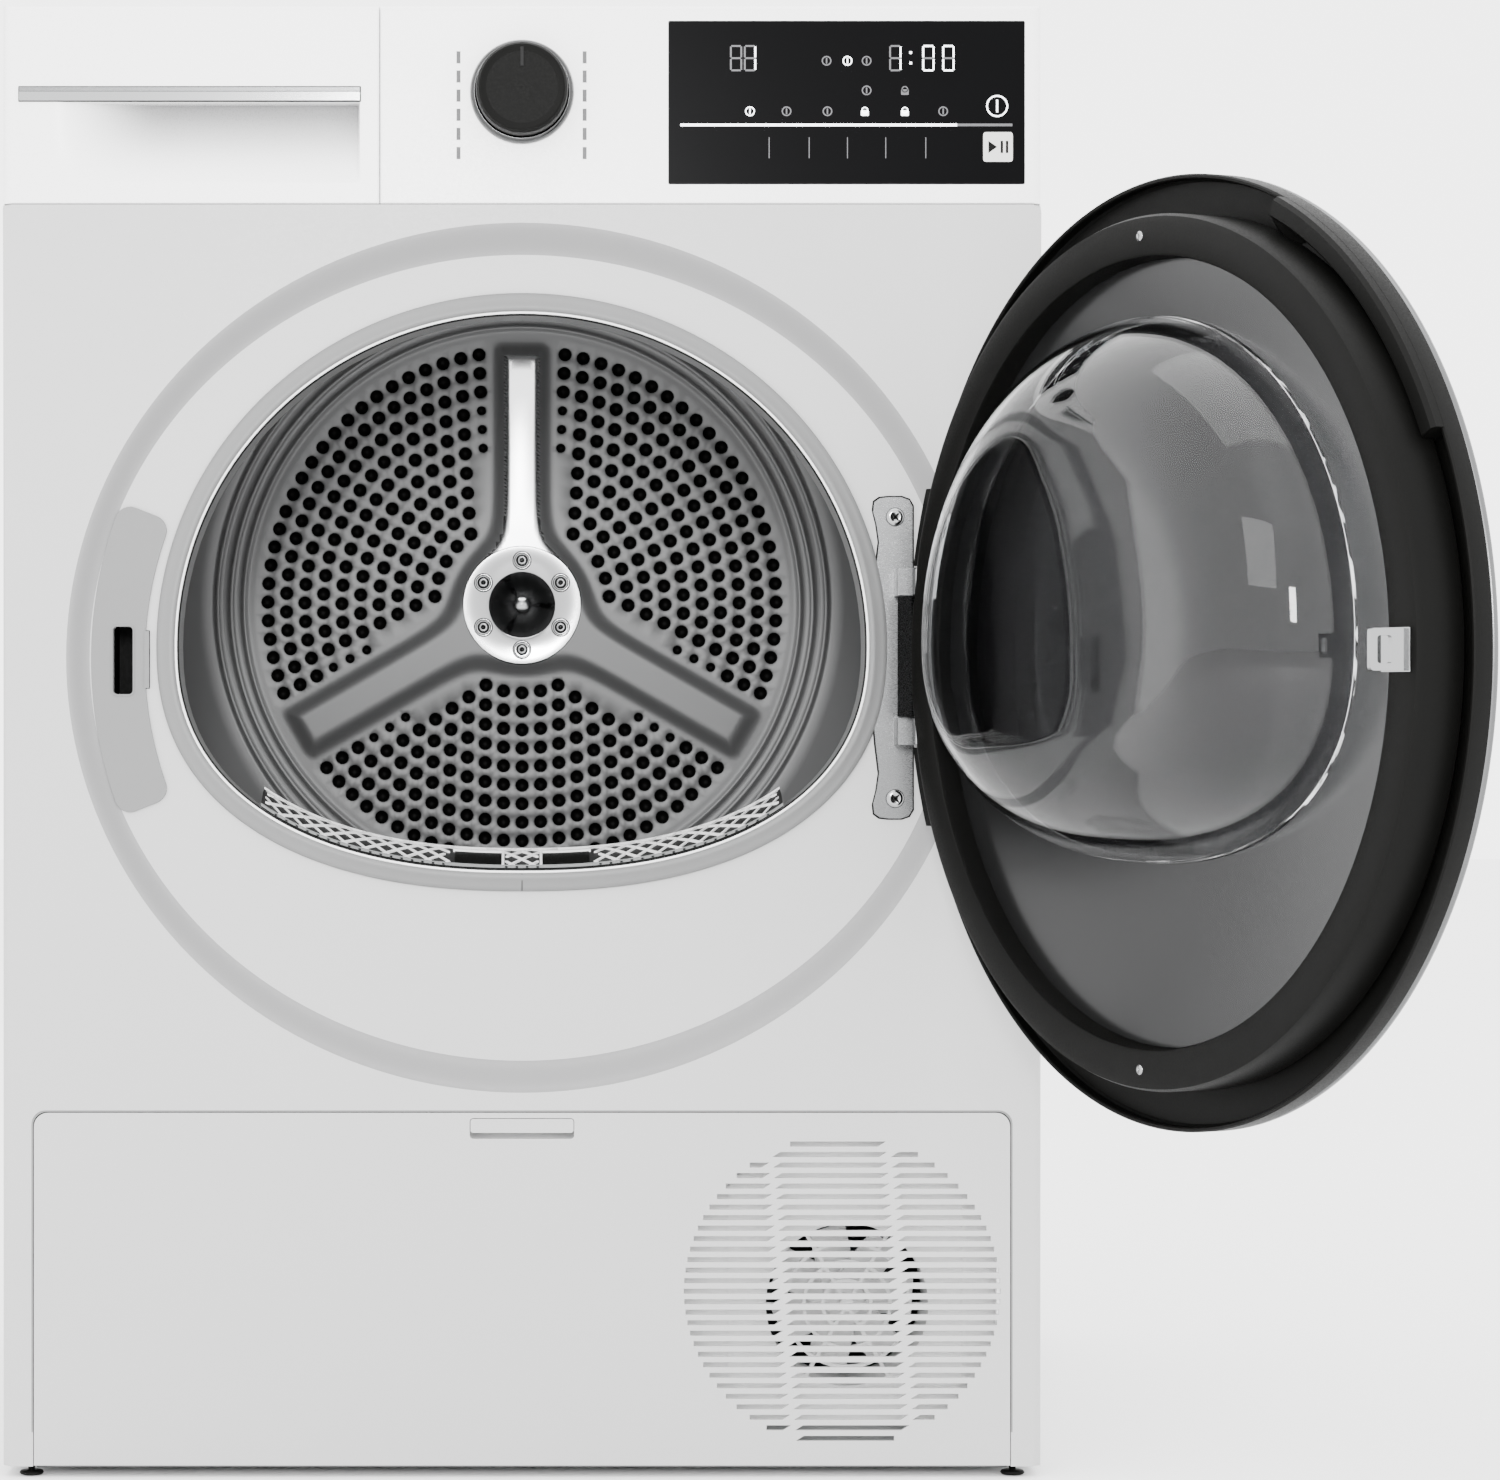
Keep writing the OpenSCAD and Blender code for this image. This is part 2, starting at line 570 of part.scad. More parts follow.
// Plate on the cabinet with two arms that reach forward to the hinge axis
module plate_half() polygon([[202, 470], [202, 436], [213.5 - 8, 400], [202, 388], [203, 381], [209, 378],
                             [220, 378], [225, 384], [225, 470]]);
module hinge_plate() color("#a9abad") difference() {
    union() {
        slab(dish_y - 2, dish_y) {
            plate_half();
            translate([0, 942]) mirror([0, 1]) plate_half();
        }
        for (z = arm_z) {
            block([214, hinge_y + 2, z - arm_h / 2], [220, dish_y, z + arm_h / 2]);
            block([214, hinge_y - 2, z - arm_h / 2], [hinge_x, hinge_y + 5, z + arm_h / 2]);
            rod_z(hinge_x, hinge_y, z - arm_h / 2, z + arm_h / 2, 7.5);
        }
    }
    for (z = arm_z) rod_z(hinge_x, hinge_y, z - 20, z + 20, pin_r + 0.06);
    slab(dish_y - 3, dish_y + 1) mouth(11.8);
}
module screw_head(x, z, y, r) difference() {
    rod_y(x, z, y - 2.2, y, r);
    for (a = [0, 90]) translate([x, y - 2.2, z]) rotate([0, a, 0]) block([-r * 0.62, -1, -0.8], [r * 0.62, 1.4, 0.8]);
}
module cabinet_screws() color("#b8b9bb") {
    for (z = [390, 552]) screw_head(214.6, z, dish_y - 2, 5.4);
    for (x = [-hw + 8, hw - 8], z = [60, 300, 560, 800]) rod_y(x, z, ry, ry + 2, 4.5);
}

// ---------- door, drawn closed and then swung ----------
// Keeps the part of a door piece that can roll past the cabinet at the hinge
module hinge_trim() difference() {
    children();
    difference() {
        block([hinge_x, door_y - 20, 180], [300, fy + 60, 760]);
        rod_z(hinge_x, hinge_y, 170, 770, hinge_edge_r);
    }
    for (z = arm_z) block([208, hinge_y - 9.5, z - arm_h / 2 - 1.5], [260, fy + 20, z + arm_h / 2 + 1.5]);
}
module door_outer_frame() swung() color("#1c1d1e") hinge_trim() difference() {
    union() {
        turned(0, door_z) polygon([[198, door_y + 3.6], [glass_r + 0.5, door_y + 3.6], [glass_r + 0.5, door_y],
            [door_r - 2, door_y], [door_r, door_y + 2], [door_r, door_y + rim_t], [door_r - 3, door_y + rim_t],
            [door_r - 3, door_y + 7.6], [198, door_y + 7.6]]);
        intersection() {
            ring_y(0, door_z, door_y + 7, hinge_y + 2, door_r, 190);
            block([hinge_x - 40, door_y, 375], [300, fy, 567]);
        }
    }
    translate([inner_x, 0, door_z]) rotate([90, 0, 0]) translate([0, 0, -door_y - 90])
        cylinder(r = inner_r + 0.4, h = 90 - 7.6 - 0.2, $fn = 128);
    block([hinge_x - 15.3, hinge_y - 12.3, arm_z[0]], [300, fy, arm_z[1]]);
}
module door_inner_frame() swung() color("#202122") hinge_trim() difference() {
    turned(inner_x, door_z) polygon([[inner_hole_r, door_y + 8], [inner_r - 4, door_y + 8],
        [inner_r, door_y + 12], [inner_r, door_y + door_t - 2], [inner_r - 2, door_y + door_t],
        [inner_hole_r, door_y + door_t]]);
    difference() {
        block([hinge_x - 16, door_y - 1, 436], [260, fy + 10, 507]);
        block([hinge_x - 60, door_y - 1, 436], [hinge_x - 15.6, fy + 10, 507]);
    }
}
module door_glass() swung() color([0.12, 0.12, 0.13, 0.8]) difference() {
    rod_y(0, door_z, door_y, door_y + 3.5, glass_r);
    block([hinge_x - 2, door_y - 20, 200], [300, door_y + 20, 740]);
}
module bowl_outline(grow, down = 0) polygon(d_outline(bowl_w + grow, bowl_top + grow, bowl_bottom - grow + down));
module door_flange_ring() swung() color("#9b9ea1") slab(door_y + flange_d, door_y + flange_d + 2) difference() {
    translate([inner_x, door_z]) circle(inner_hole_r - 0.4, $fn = 128);
    bowl_outline(-3);
}
// Domed bowl: thin slices of the outline that shrink with depth, joined into one skin
module bowl_shape(inset, far) hull() for (i = [0:6]) let (t = i / 6, a = 90 * t)
    slab(door_y + flange_d + 2 + far * sin(a), door_y + flange_d + 2.3 + far * sin(a))
        bowl_outline(-inset - 72 * (1 - cos(a)));
module door_bowl() swung() color([0.8, 0.82, 0.83, 0.35]) difference() {
    union() {
        bowl_shape(0, bowl_depth - 2);
        slab(door_y + flange_d + 2, door_y + flange_d + 5) difference() {
            translate([inner_x, door_z]) circle(inner_hole_r - 0.8, $fn = 96);
            bowl_outline(-2);
        }
    }
    translate([0, -4, 0]) bowl_shape(3, bowl_depth - 2);
}
module door_hook() swung() color("#c3c5c7") {
    block([-233, door_y + door_t, 460], [-212, door_y + door_t + 1.2, 481]);
    difference() {
        block([-231, door_y + door_t, 460.5], [-228.4, door_y + door_t + 22, 480.5]);
        block([-240, door_y + door_t + 10, 464], [-220, door_y + door_t + 18, 477]);
    }
}
// Block between the arms with the two hinge pins
module door_hinge_block() swung() color("#8e9194") {
    intersection() {
        block([hinge_x - 15, hinge_y - 12, arm_z[0] + arm_h / 2 + 0.6], [hinge_x + 12, fy - 2, arm_z[1] - arm_h / 2 - 0.6]);
        union() {
            rod_z(hinge_x, hinge_y, 400, 540, 12);
            block([hinge_x - 15, hinge_y - 12, 400], [hinge_x, fy - 2, 540]);
        }
    }
    for (z = arm_z) rod_z(hinge_x, hinge_y, z - arm_h / 2 - 0.7, z + arm_h / 2 + 0.7, pin_r);
}

// ---------- kick plate ----------
module grille_slots() intersection() {
    translate([grille_x, grille_z]) circle(grille_r, $fn = 96);
    difference() {
        for (i = [-14:14]) translate([grille_x - 95, grille_z + i * slot_pitch - slot_h / 2])
            square([190, slot_h]);
        for (i = [-14:14], x = [-37, 31]) let (z = i * slot_pitch - slot_h / 2, s = -0.5 * i)
            translate([grille_x + x + s, grille_z + z]) polygon([[-3.5, -0.1], [3.5, -0.1], [8, slot_h + 0.1], [1, slot_h + 0.1]]);
    }
}
module kick_plate() color("#e3e3e2") {
    slab(fy, fy + 2.5) difference() {
        kick_opening(gap);
        grille_slots();
        rounded_rect(-30, 194.6, 30, 206.4, 2);
    }
    for (x = [-kick_w + 6, kick_w - 8]) block([x, fy + 2.5, kick_z - 2], [x + 2, fy + 10, 190]);
    for (x = [-279.8, 274]) rod_x(kick_y, kick_z, x, x + 5.8, 2);
    block([-kick_w + 6, fy + 2.5, 12], [kick_w - 6, fy + 10, 14]);
}
module kick_button() color("#dcdcdb") {
    slab(fy, fy + 2.5) rounded_rect(-29.6, 198, 29.6, 206, 1.6);
    block([-24, fy + 2.5, 199], [24, fy + 9, 201]);
}

base_tray();
left_side_panel();
right_side_panel();
front_panel();
rear_panel();
rear_duct_cover();
worktop();
control_panel();
display_glass();
programme_knob();
knob_ring();
front_bulkhead();
mouth_seal();
drum_felt_seals();
drum_shell();
drum_back();
drum_hub();
hub_bolts();
drum_lifters();
rear_bearing_bracket();
left_roller();
right_roller();
motor();
motor_pulley();
drive_belt();
tension_arm();
tension_pulley();
tension_spring();
process_fan();
fan_housing();
compressor();
power_gland();
evaporator();
condenser();
refrigerant_pipes();
condensate_pump();
cooling_fan();
exchanger_cover();
water_tank();
drawer_front();
drawer_handle_strip();
lint_filter();
latch_cover();
door_lock();
switch_button();
hinge_plate();
cabinet_screws();
door_outer_frame();
door_inner_frame();
door_glass();
door_bowl();
door_flange_ring();
door_hook();
door_hinge_block();
kick_plate();
kick_button();
front_left_foot();
front_right_foot();
rear_left_foot();
rear_right_foot();
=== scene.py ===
"""Visual model of a free-standing tumble dryer with its round door open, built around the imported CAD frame."""
import json
import math

import bmesh
import bpy
from mathutils import Matrix, Vector
from mathutils.geometry import delaunay_2d_cdt


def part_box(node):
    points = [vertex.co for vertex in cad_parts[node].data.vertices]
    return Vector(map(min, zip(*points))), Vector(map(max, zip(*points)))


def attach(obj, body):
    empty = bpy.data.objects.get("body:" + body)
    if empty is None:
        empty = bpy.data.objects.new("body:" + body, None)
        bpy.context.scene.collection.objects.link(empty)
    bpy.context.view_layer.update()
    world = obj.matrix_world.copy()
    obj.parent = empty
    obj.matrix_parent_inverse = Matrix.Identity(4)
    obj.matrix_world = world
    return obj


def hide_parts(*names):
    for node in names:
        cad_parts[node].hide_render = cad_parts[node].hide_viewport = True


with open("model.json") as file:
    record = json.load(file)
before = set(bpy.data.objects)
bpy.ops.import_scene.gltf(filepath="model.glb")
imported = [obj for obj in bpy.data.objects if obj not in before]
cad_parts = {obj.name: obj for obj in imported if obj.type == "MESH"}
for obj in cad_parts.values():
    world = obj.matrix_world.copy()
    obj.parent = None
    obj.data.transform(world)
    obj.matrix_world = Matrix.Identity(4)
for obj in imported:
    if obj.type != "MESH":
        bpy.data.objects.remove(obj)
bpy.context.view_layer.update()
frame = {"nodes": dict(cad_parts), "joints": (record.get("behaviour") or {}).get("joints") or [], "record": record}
NODES = frame["nodes"]
MM = 0.001

# ---------- places taken from the frame, in metres ----------
panel_lo, panel_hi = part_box("front_panel")
FRONT = panel_lo.y                      # outer face of the front panel
HALF_W = panel_hi.x
MOUTH_LO, MOUTH_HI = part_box("mouth_seal")
DISH_DEPTH = 5 * MM
DISH_Z = 471 * MM
DRUM_Z = (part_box("drum_shell")[0].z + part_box("drum_shell")[1].z) / 2
BACK_Y = 236 * MM                       # front face of the drum's back
JOINTS = {j["name"]: j for j in frame["joints"]}
HINGE = Vector(JOINTS["door_hinge"]["pos_m"])
DOOR_ANGLE = -math.radians(JOINTS["door_hinge"]["range_deg"][0])


# ---------- materials ----------
def node_material(name):
    """A new node material: its node tree and its Principled shader."""
    mat = bpy.data.materials.new(name)
    mat.use_nodes = True
    tree = mat.node_tree
    return mat, tree, tree.nodes["Principled BSDF"]


def add_noise(tree, scale, detail=3.0, stretch=(1, 1, 1)):
    """A noise texture in object coordinates, stretched along the axes."""
    coords = tree.nodes.new("ShaderNodeTexCoord")
    mapping = tree.nodes.new("ShaderNodeMapping")
    mapping.inputs["Scale"].default_value = stretch
    noise = tree.nodes.new("ShaderNodeTexNoise")
    noise.inputs["Scale"].default_value = scale
    noise.inputs["Detail"].default_value = detail
    tree.links.new(coords.outputs["Object"], mapping.inputs["Vector"])
    tree.links.new(mapping.outputs["Vector"], noise.inputs["Vector"])
    return noise


def add_ramp(tree, source, low, high, positions=(0.35, 0.65)):
    """A colour ramp from low to high driven by a texture's factor."""
    ramp = tree.nodes.new("ShaderNodeValToRGB")
    for element, place, colour in zip(ramp.color_ramp.elements, positions, (low, high)):
        element.position = place
        element.color = (*colour, 1)
    tree.links.new(source.outputs["Fac"], ramp.inputs["Fac"])
    return ramp


def add_bump(tree, shader, source, strength, distance):
    bump = tree.nodes.new("ShaderNodeBump")
    bump.inputs["Strength"].default_value = strength
    bump.inputs["Distance"].default_value = distance
    tree.links.new(source.outputs["Fac"], bump.inputs["Height"])
    tree.links.new(bump.outputs["Normal"], shader.inputs["Normal"])


def surface(name, colour, rough, metal=0.0, vary=0.03, vary_scale=9.0, rough_vary=0.06,
            grain=500.0, bump=0.08, depth=0.00012, stretch=(1, 1, 1), coat=0.0, specular=0.5):
    """A solid surface with faint colour and roughness variation and a fine grain; a plain number is a grey."""
    colour = (colour,) * 3 if isinstance(colour, float) else colour
    mat, tree, shader = node_material(name)
    cloud = add_noise(tree, vary_scale)
    tint = add_ramp(tree, cloud, [c * (1 - vary) for c in colour], [min(1, c * (1 + vary)) for c in colour])
    tree.links.new(tint.outputs["Color"], shader.inputs["Base Color"])
    fine = add_noise(tree, grain, 2.0, stretch)
    sheen = add_ramp(tree, fine, [max(0.02, rough - rough_vary)] * 3, [rough + rough_vary] * 3)
    tree.links.new(sheen.outputs["Color"], shader.inputs["Roughness"])
    if bump:
        add_bump(tree, shader, fine, bump, depth)
    shader.inputs["Metallic"].default_value = metal
    shader.inputs["Specular IOR Level"].default_value = specular
    shader.inputs["Coat Weight"].default_value = coat
    shader.inputs["Coat Roughness"].default_value = 0.08
    return mat


def polished(name, colour, rough, metal=1.0, vary_scale=9.0, grain=300):
    """A metal without grain marks."""
    return surface(name, colour, rough, metal, vary=0.02, vary_scale=vary_scale, grain=grain, bump=0.0,
                   rough_vary=0.0)


def clear_surface(name, colour, rough, clarity, ior):
    """Moulded clear plastic or glass with a faint waviness."""
    mat, tree, shader = node_material(name)
    wave = add_noise(tree, 14.0, 1.0)
    tint = add_ramp(tree, wave, [c * 0.97 for c in colour], colour)
    tree.links.new(tint.outputs["Color"], shader.inputs["Base Color"])
    add_bump(tree, shader, wave, 0.05, 0.001)
    shader.inputs["Roughness"].default_value = rough
    shader.inputs["Transmission Weight"].default_value = clarity
    shader.inputs["IOR"].default_value = ior
    return mat


def glowing(name, colour, strength):
    """Lit display segments, with the faint unevenness of a light guide."""
    mat, tree, shader = node_material(name)
    cloud = add_noise(tree, 160.0)
    tint = add_ramp(tree, cloud, [c * 0.88 for c in colour], colour)
    tree.links.new(tint.outputs["Color"], shader.inputs["Base Color"])
    tree.links.new(tint.outputs["Color"], shader.inputs["Emission Color"])
    shader.inputs["Emission Strength"].default_value = strength
    shader.inputs["Roughness"].default_value = 0.4
    return mat


MAT = {
    "white_paint": surface("white_powder_coat", 0.37, 0.42, vary=0.008, grain=900, bump=0.10),
    # dish band paint: a darker grey than the panel paint, painted shade on the dish's sloped band
    "dish_band_painted_shade": surface("dish_band_paint_painted_shade", (0.155, 0.155, 0.156), 0.45, vary=0.008, grain=900, bump=0.10),
    "white_plastic": surface("white_moulded_plastic", 0.87, 0.30, vary=0.006, grain=1400, bump=0.05),
    "light_plastic": surface("light_grey_plastic", (0.115, 0.116, 0.116), 0.48, vary=0.02, grain=1200, bump=0.10),
    "pale_plastic": surface("pale_filter_plastic", 0.60, 0.38, vary=0.02, grain=1200, bump=0.08),
    "grey_plastic": surface("grey_moulded_plastic", (0.17, 0.175, 0.175), 0.55, vary=0.05, grain=700, bump=0.18),
    "dark_mesh": surface("dark_filter_mesh", 0.008, 0.6, vary=0.1, grain=900, bump=0.3, specular=0.2),
    "black_plastic": surface("black_moulded_plastic", (0.0020, 0.0020, 0.0018), 0.50, vary=0.10, grain=1100,
                             bump=0.05, specular=0.06),
    "black_gloss": surface("black_gloss", (0.0015, 0.0015, 0.0017), 0.22, vary=0.05, grain=300, bump=0.0,
                           rough_vary=0.0, specular=0.02),
    "drawer_grip_painted_shade": surface("grip_plastic_painted_shade", 0.87, 0.30, vary=0.006, grain=1400, bump=0.05),
    # brighter copy of the drum steel for the upper arm's flat top: a painted highlight
    "upper_arm_painted_highlight": polished("drum_steel_painted_highlight", (0.30, 0.302, 0.305), 0.2),
    # much paler plastic for the parts behind the grille: partly their own light grey, partly painted light
    "grille_back_painted_light": surface("grille_back_plastic_painted_light", 0.80, 0.45, vary=0.02, grain=900, bump=0.05),
    "knob_chrome": polished("knob_ring_chrome", (0.05, 0.0505, 0.051), 0.18),
    "ring_metal": polished("brushed_door_ring", (0.045, 0.0455, 0.046), 0.2, 0.9, grain=500),
    "galvanised": surface("galvanised_sheet", (0.27, 0.28, 0.285), 0.42, 0.75, vary=0.14, vary_scale=60, grain=240,
                          bump=0.12, rough_vary=0.12),
    "drum_steel": polished("drum_stainless", (0.115, 0.116, 0.117), 0.45, 0.45, vary_scale=3),
    "bright_steel": polished("polished_steel", (0.25, 0.2525, 0.255), 0.14),
    "satin_metal": surface("satin_metal", (0.11, 0.1115, 0.113), 0.26, 1.0, vary=0.03, grain=700, bump=0.02,
                           stretch=(1, 1, 9)),
    "fins": surface("aluminium_fins", (0.37, 0.38, 0.385), 0.35, 0.9, vary=0.06, grain=500, bump=0.1),
    "copper": surface("copper_tube", (0.42, 0.20, 0.12), 0.32, 1.0, vary=0.15, vary_scale=30, grain=300, bump=0.08),
    "iron_black": surface("black_enamel", (0.010, 0.010, 0.011), 0.35, 0.1, vary=0.2, grain=260, bump=0.15, coat=0.3),
    "rubber": surface("black_rubber", 0.010, 0.70, vary=0.15, grain=500, bump=0.3, specular=0.1),
    "felt": surface("grey_felt", (0.19, 0.19, 0.185), 0.95, vary=0.18, vary_scale=240, grain=1600, bump=0.9,
                    depth=0.0008, specular=0.1),
    "tank_plastic": surface("natural_tank_plastic", (0.42, 0.44, 0.45), 0.40, vary=0.03, grain=500, bump=0.1),
    "clear_bowl": clear_surface("clear_bowl", (0.80, 0.805, 0.81), 0.02, 1.0, 1.27),
    "smoked_glass": clear_surface("smoked_glass", (0.020, 0.020, 0.021), 0.05, 0.25, 1.24),
    "print_grey": surface("grey_print", (0.05, 0.05, 0.052), 0.5, vary=0.05, grain=1500, bump=0.0),
    "lit": glowing("lit_white", (0.95, 0.97, 1.0), 3.0),
    "dim": glowing("unlit_segment", (0.05, 0.05, 0.055), 0.15),
    "key_face": surface("pale_key_face", (0.50, 0.49, 0.475), 0.4, vary=0.02, grain=800, bump=0.05),
}


def shade_by_depth(name, start, depth, top, height, painted_shade_colour):
    """Paints shade into a material: darkens it smoothly from the front plane into a hollow, most of all near the
    hollow's top edge.
    """
    tree = MAT[name].node_tree
    shader = tree.nodes["Principled BSDF"]
    plain = shader.inputs["Base Color"].links[0].from_socket
    coords, split = tree.nodes.new("ShaderNodeTexCoord"), tree.nodes.new("ShaderNodeSeparateXYZ")
    tree.links.new(coords.outputs["Object"], split.inputs["Vector"])
    inward, upward = tree.nodes.new("ShaderNodeMapRange"), tree.nodes.new("ShaderNodeMapRange")
    for node, axis, low, high, least in ((inward, "Y", start, start + depth, 0.0),
                                         (upward, "Z", top - height, top, 0.35)):
        for limit, value in (("From Min", low), ("From Max", high), ("To Min", least)):
            node.inputs[limit].default_value = value
        tree.links.new(split.outputs[axis], node.inputs["Value"])
    amount = tree.nodes.new("ShaderNodeMath")
    amount.operation = "MULTIPLY"
    tree.links.new(inward.outputs["Result"], amount.inputs[0])
    tree.links.new(upward.outputs["Result"], amount.inputs[1])
    mix = tree.nodes.new("ShaderNodeMix")
    mix.data_type = "RGBA"
    colour_in = [s for s in mix.inputs if s.type == "RGBA"]
    colour_in[1].default_value = (*painted_shade_colour, 1)
    tree.links.new(amount.outputs["Value"], mix.inputs["Factor"])
    tree.links.new(plain, colour_in[0])
    tree.links.new([s for s in mix.outputs if s.type == "RGBA"][0], shader.inputs["Base Color"])


# The exchanger cover and the fan behind the grille take a plastic far paler than the panel paint: partly their own
# light grey, partly painted light that brightens them where little lamp light reaches. The kick button takes the panel
# paint.
OWN_LOOK = {"exchanger_cover": "grille_back_painted_light", "cooling_fan": "grille_back_painted_light", "kick_button": "white_paint"}
for subpart in frame["record"]["subparts"]:
    mesh = NODES[subpart["node"]].data
    mesh.materials.clear()
    mesh.materials.append(MAT[OWN_LOOK.get(subpart["node"], subpart["material_slot"])])


# ---------- mesh helpers ----------
def make_mesh(name, verts, faces, material, smooth=False):
    mesh = bpy.data.meshes.new(name)
    mesh.from_pydata([tuple(v) for v in verts], [], faces)
    mesh.update()
    piece = bpy.data.objects.new(name, mesh)
    bpy.context.collection.objects.link(piece)
    mesh.materials.append(MAT[material])
    if smooth:
        for polygon in mesh.polygons:
            polygon.use_smooth = True
    return piece


def tidy_mesh(piece, merge=1e-6):
    """Merges doubled vertices and turns every face outward."""
    bm = bmesh.new()
    bm.from_mesh(piece.data)
    bmesh.ops.remove_doubles(bm, verts=bm.verts, dist=merge)
    bmesh.ops.recalc_face_normals(bm, faces=bm.faces)
    bm.to_mesh(piece.data)
    bm.free()
    return piece


def add_bevel(piece, width, segments=3, angle=35):
    """Rounds the sharp edges and shades the piece with weighted normals."""
    for polygon in piece.data.polygons:
        polygon.use_smooth = True
    bevel = piece.modifiers.new("rounded_edges", "BEVEL")
    bevel.width = width
    bevel.segments = segments
    bevel.limit_method = "ANGLE"
    bevel.angle_limit = math.radians(angle)
    bevel.harden_normals = True
    return piece


def placed(piece, body, replaces=(), bevel=0.0):
    """Ties a piece to its body and hides the CAD nodes it stands for; a bevel rounds its edges."""
    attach(piece, body)
    for node in replaces:
        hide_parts(node)
    if bevel:
        add_bevel(piece, bevel)
    return piece


def add_loop(loop, points, edges):
    """Adds a closed loop to the points and edges of a Delaunay fill."""
    first, count = len(points), len(loop)
    points += [Vector(p) for p in loop]
    edges += [(first + i, first + (i + 1) % count) for i in range(count)]


def filled(outline, holes=()):
    """Triangles over a flat outline with holes: points and faces from a constrained Delaunay fill."""
    points, edges = [], []
    for loop in (outline, *holes):
        add_loop(loop, points, edges)
    verts, _, tris, *_ = delaunay_2d_cdt(points, edges, [], 0, 1e-9)
    kept = []
    for tri in tris:
        centre = sum((verts[i] for i in tri), Vector((0, 0))) / len(tri)
        if inside(centre, outline) and not any(inside(centre, hole) for hole in holes):
            kept.append(tri)
    return verts, kept


def inside(point, loop):
    x, z = point
    hit = False
    for (ax, az), (bx, bz) in zip(loop, loop[1:] + loop[:1]):
        if (az > z) != (bz > z) and x < (bx - ax) * (z - az) / (bz - az) + ax:
            hit = not hit
    return hit


def plate(name, outline, y0, y1, material, holes=()):
    """A flat plate in the XZ plane from y0 (front) to y1, with holes."""
    verts, tris = filled(outline, holes)
    n = len(verts)
    points = [(v.x, y0, v.y) for v in verts] + [(v.x, y1, v.y) for v in verts]
    faces = [tuple(t) for t in tris] + [tuple(i + n for i in reversed(t)) for t in tris]
    count = {}
    for t in tris:
        for a, b in zip(t, list(t[1:]) + [t[0]]):
            count[(a, b)] = count.get((a, b), 0) + 1
    for a, b in count:
        if (b, a) not in count:
            faces.append((b, a, a + n, b + n))
    return tidy_mesh(make_mesh(name, points, faces, material), 1e-7)


def loft(name, rings, material, closed=False, caps=False, smooth=True):
    """Skins a list of rings of equal length; closed joins the last ring to the first."""
    n = len(rings[0])
    points = [p for ring in rings for p in ring]
    faces = []
    for r in range(len(rings) if closed else len(rings) - 1):
        a, b = r * n, (r + 1) % len(rings) * n
        faces += [(a + i, a + (i + 1) % n, b + (i + 1) % n, b + i) for i in range(n)]
    if caps:
        faces += [tuple(range(n)), tuple(reversed(range((len(rings) - 1) * n, len(rings) * n)))]
    return tidy_mesh(make_mesh(name, points, faces, material, smooth))


def mm_profile(pairs, base=0.0):
    """A profile given in millimetres, with its second numbers counted from base."""
    return [(r * MM, base + d * MM) for r, d in pairs]


def upright(name, x, y, profile, material, steps=32):
    """A profile of (radius, z) points turned about an upright axis."""
    rings = [[(x + u, y + v, z) for u, v in circle_points(0, 0, r, steps)] for r, z in profile]
    return loft(name, rings, material, closed=True)


def turned(name, profile, centre, material, steps=96):
    """A profile of (radius, y) points turned about a front-to-back axis through centre (x, z)."""
    rings = [[(x, y, z) for x, z in circle_points(*centre, r, steps)] for r, y in profile]
    return loft(name, rings, material, closed=True)


def block(name, lo, hi, material):
    xs, ys, zs = zip(lo, hi)
    corners = [(x, y, z) for x in xs for y in ys for z in zs]
    faces = [(0, 1, 3, 2), (4, 6, 7, 5), (0, 4, 5, 1), (2, 3, 7, 6), (0, 2, 6, 4), (1, 5, 7, 3)]
    return tidy_mesh(make_mesh(name, corners, faces, material))


def joined(name, parts):
    """Merges pieces into one, keeping each one's material."""
    bm = bmesh.new()
    mesh = bpy.data.meshes.new(name)
    slots = []
    for part in parts:
        offset = len(bm.faces)
        bm.from_mesh(part.data)
        bm.faces.ensure_lookup_table()
        for face in bm.faces[offset:]:
            material = part.data.materials[face.material_index]
            if material not in slots:
                slots.append(material)
            face.material_index = slots.index(material)
        old = part.data
        bpy.data.objects.remove(part)
        bpy.data.meshes.remove(old)
    bm.to_mesh(mesh)
    bm.free()
    for material in slots:
        mesh.materials.append(material)
    piece = bpy.data.objects.new(name, mesh)
    bpy.context.collection.objects.link(piece)
    return piece


def circle_points(cx, cz, r, steps=64, squash=1.0):
    return [(cx + r * math.cos(t), cz + r * squash * math.sin(t))
            for t in (2 * math.pi * i / steps for i in range(steps))]


def rounded_rect(x0, z0, x1, z1, r, steps=6):
    """Corner-rounded rectangle, anticlockwise."""
    out = []
    for cx, cz, start in ((x1 - r, z1 - r, 0), (x0 + r, z1 - r, 90), (x0 + r, z0 + r, 180), (x1 - r, z0 + r, 270)):
        for i in range(steps + 1):
            t = math.radians(start + 90 * i / steps)
            out.append((cx + r * math.cos(t), cz + r * math.sin(t)))
    return out


def ease(t):
    """Smooth step from 0 to 1."""
    t = min(1, max(0, t))
    return t * t * (3 - 2 * t)


# ---------- cabinet ----------
def fine_steps(stops, near, coarse):
    """Grid lines between stops: finer beside each stop in near, coarse elsewhere."""
    lines = set()
    for a, b in zip(stops, stops[1:]):
        count = max(1, math.ceil((b - a) / coarse))
        lines |= {round(a + (b - a) * i / count, 7) for i in range(count + 1)}
    for s, reach in near:
        lines |= {round(s + reach * i / 8, 7) for i in range(-8, 9) if stops[0] < s + reach * i / 8 < stops[-1]}
    return sorted(lines)


def rounding(d, r):
    """How far a face falls back at distance d from an edge rounded with radius r."""
    if d >= r or r <= 0:
        return 0.0
    return r - math.sqrt(max(0.0, r * r - (r - max(0.0, d)) ** 2))


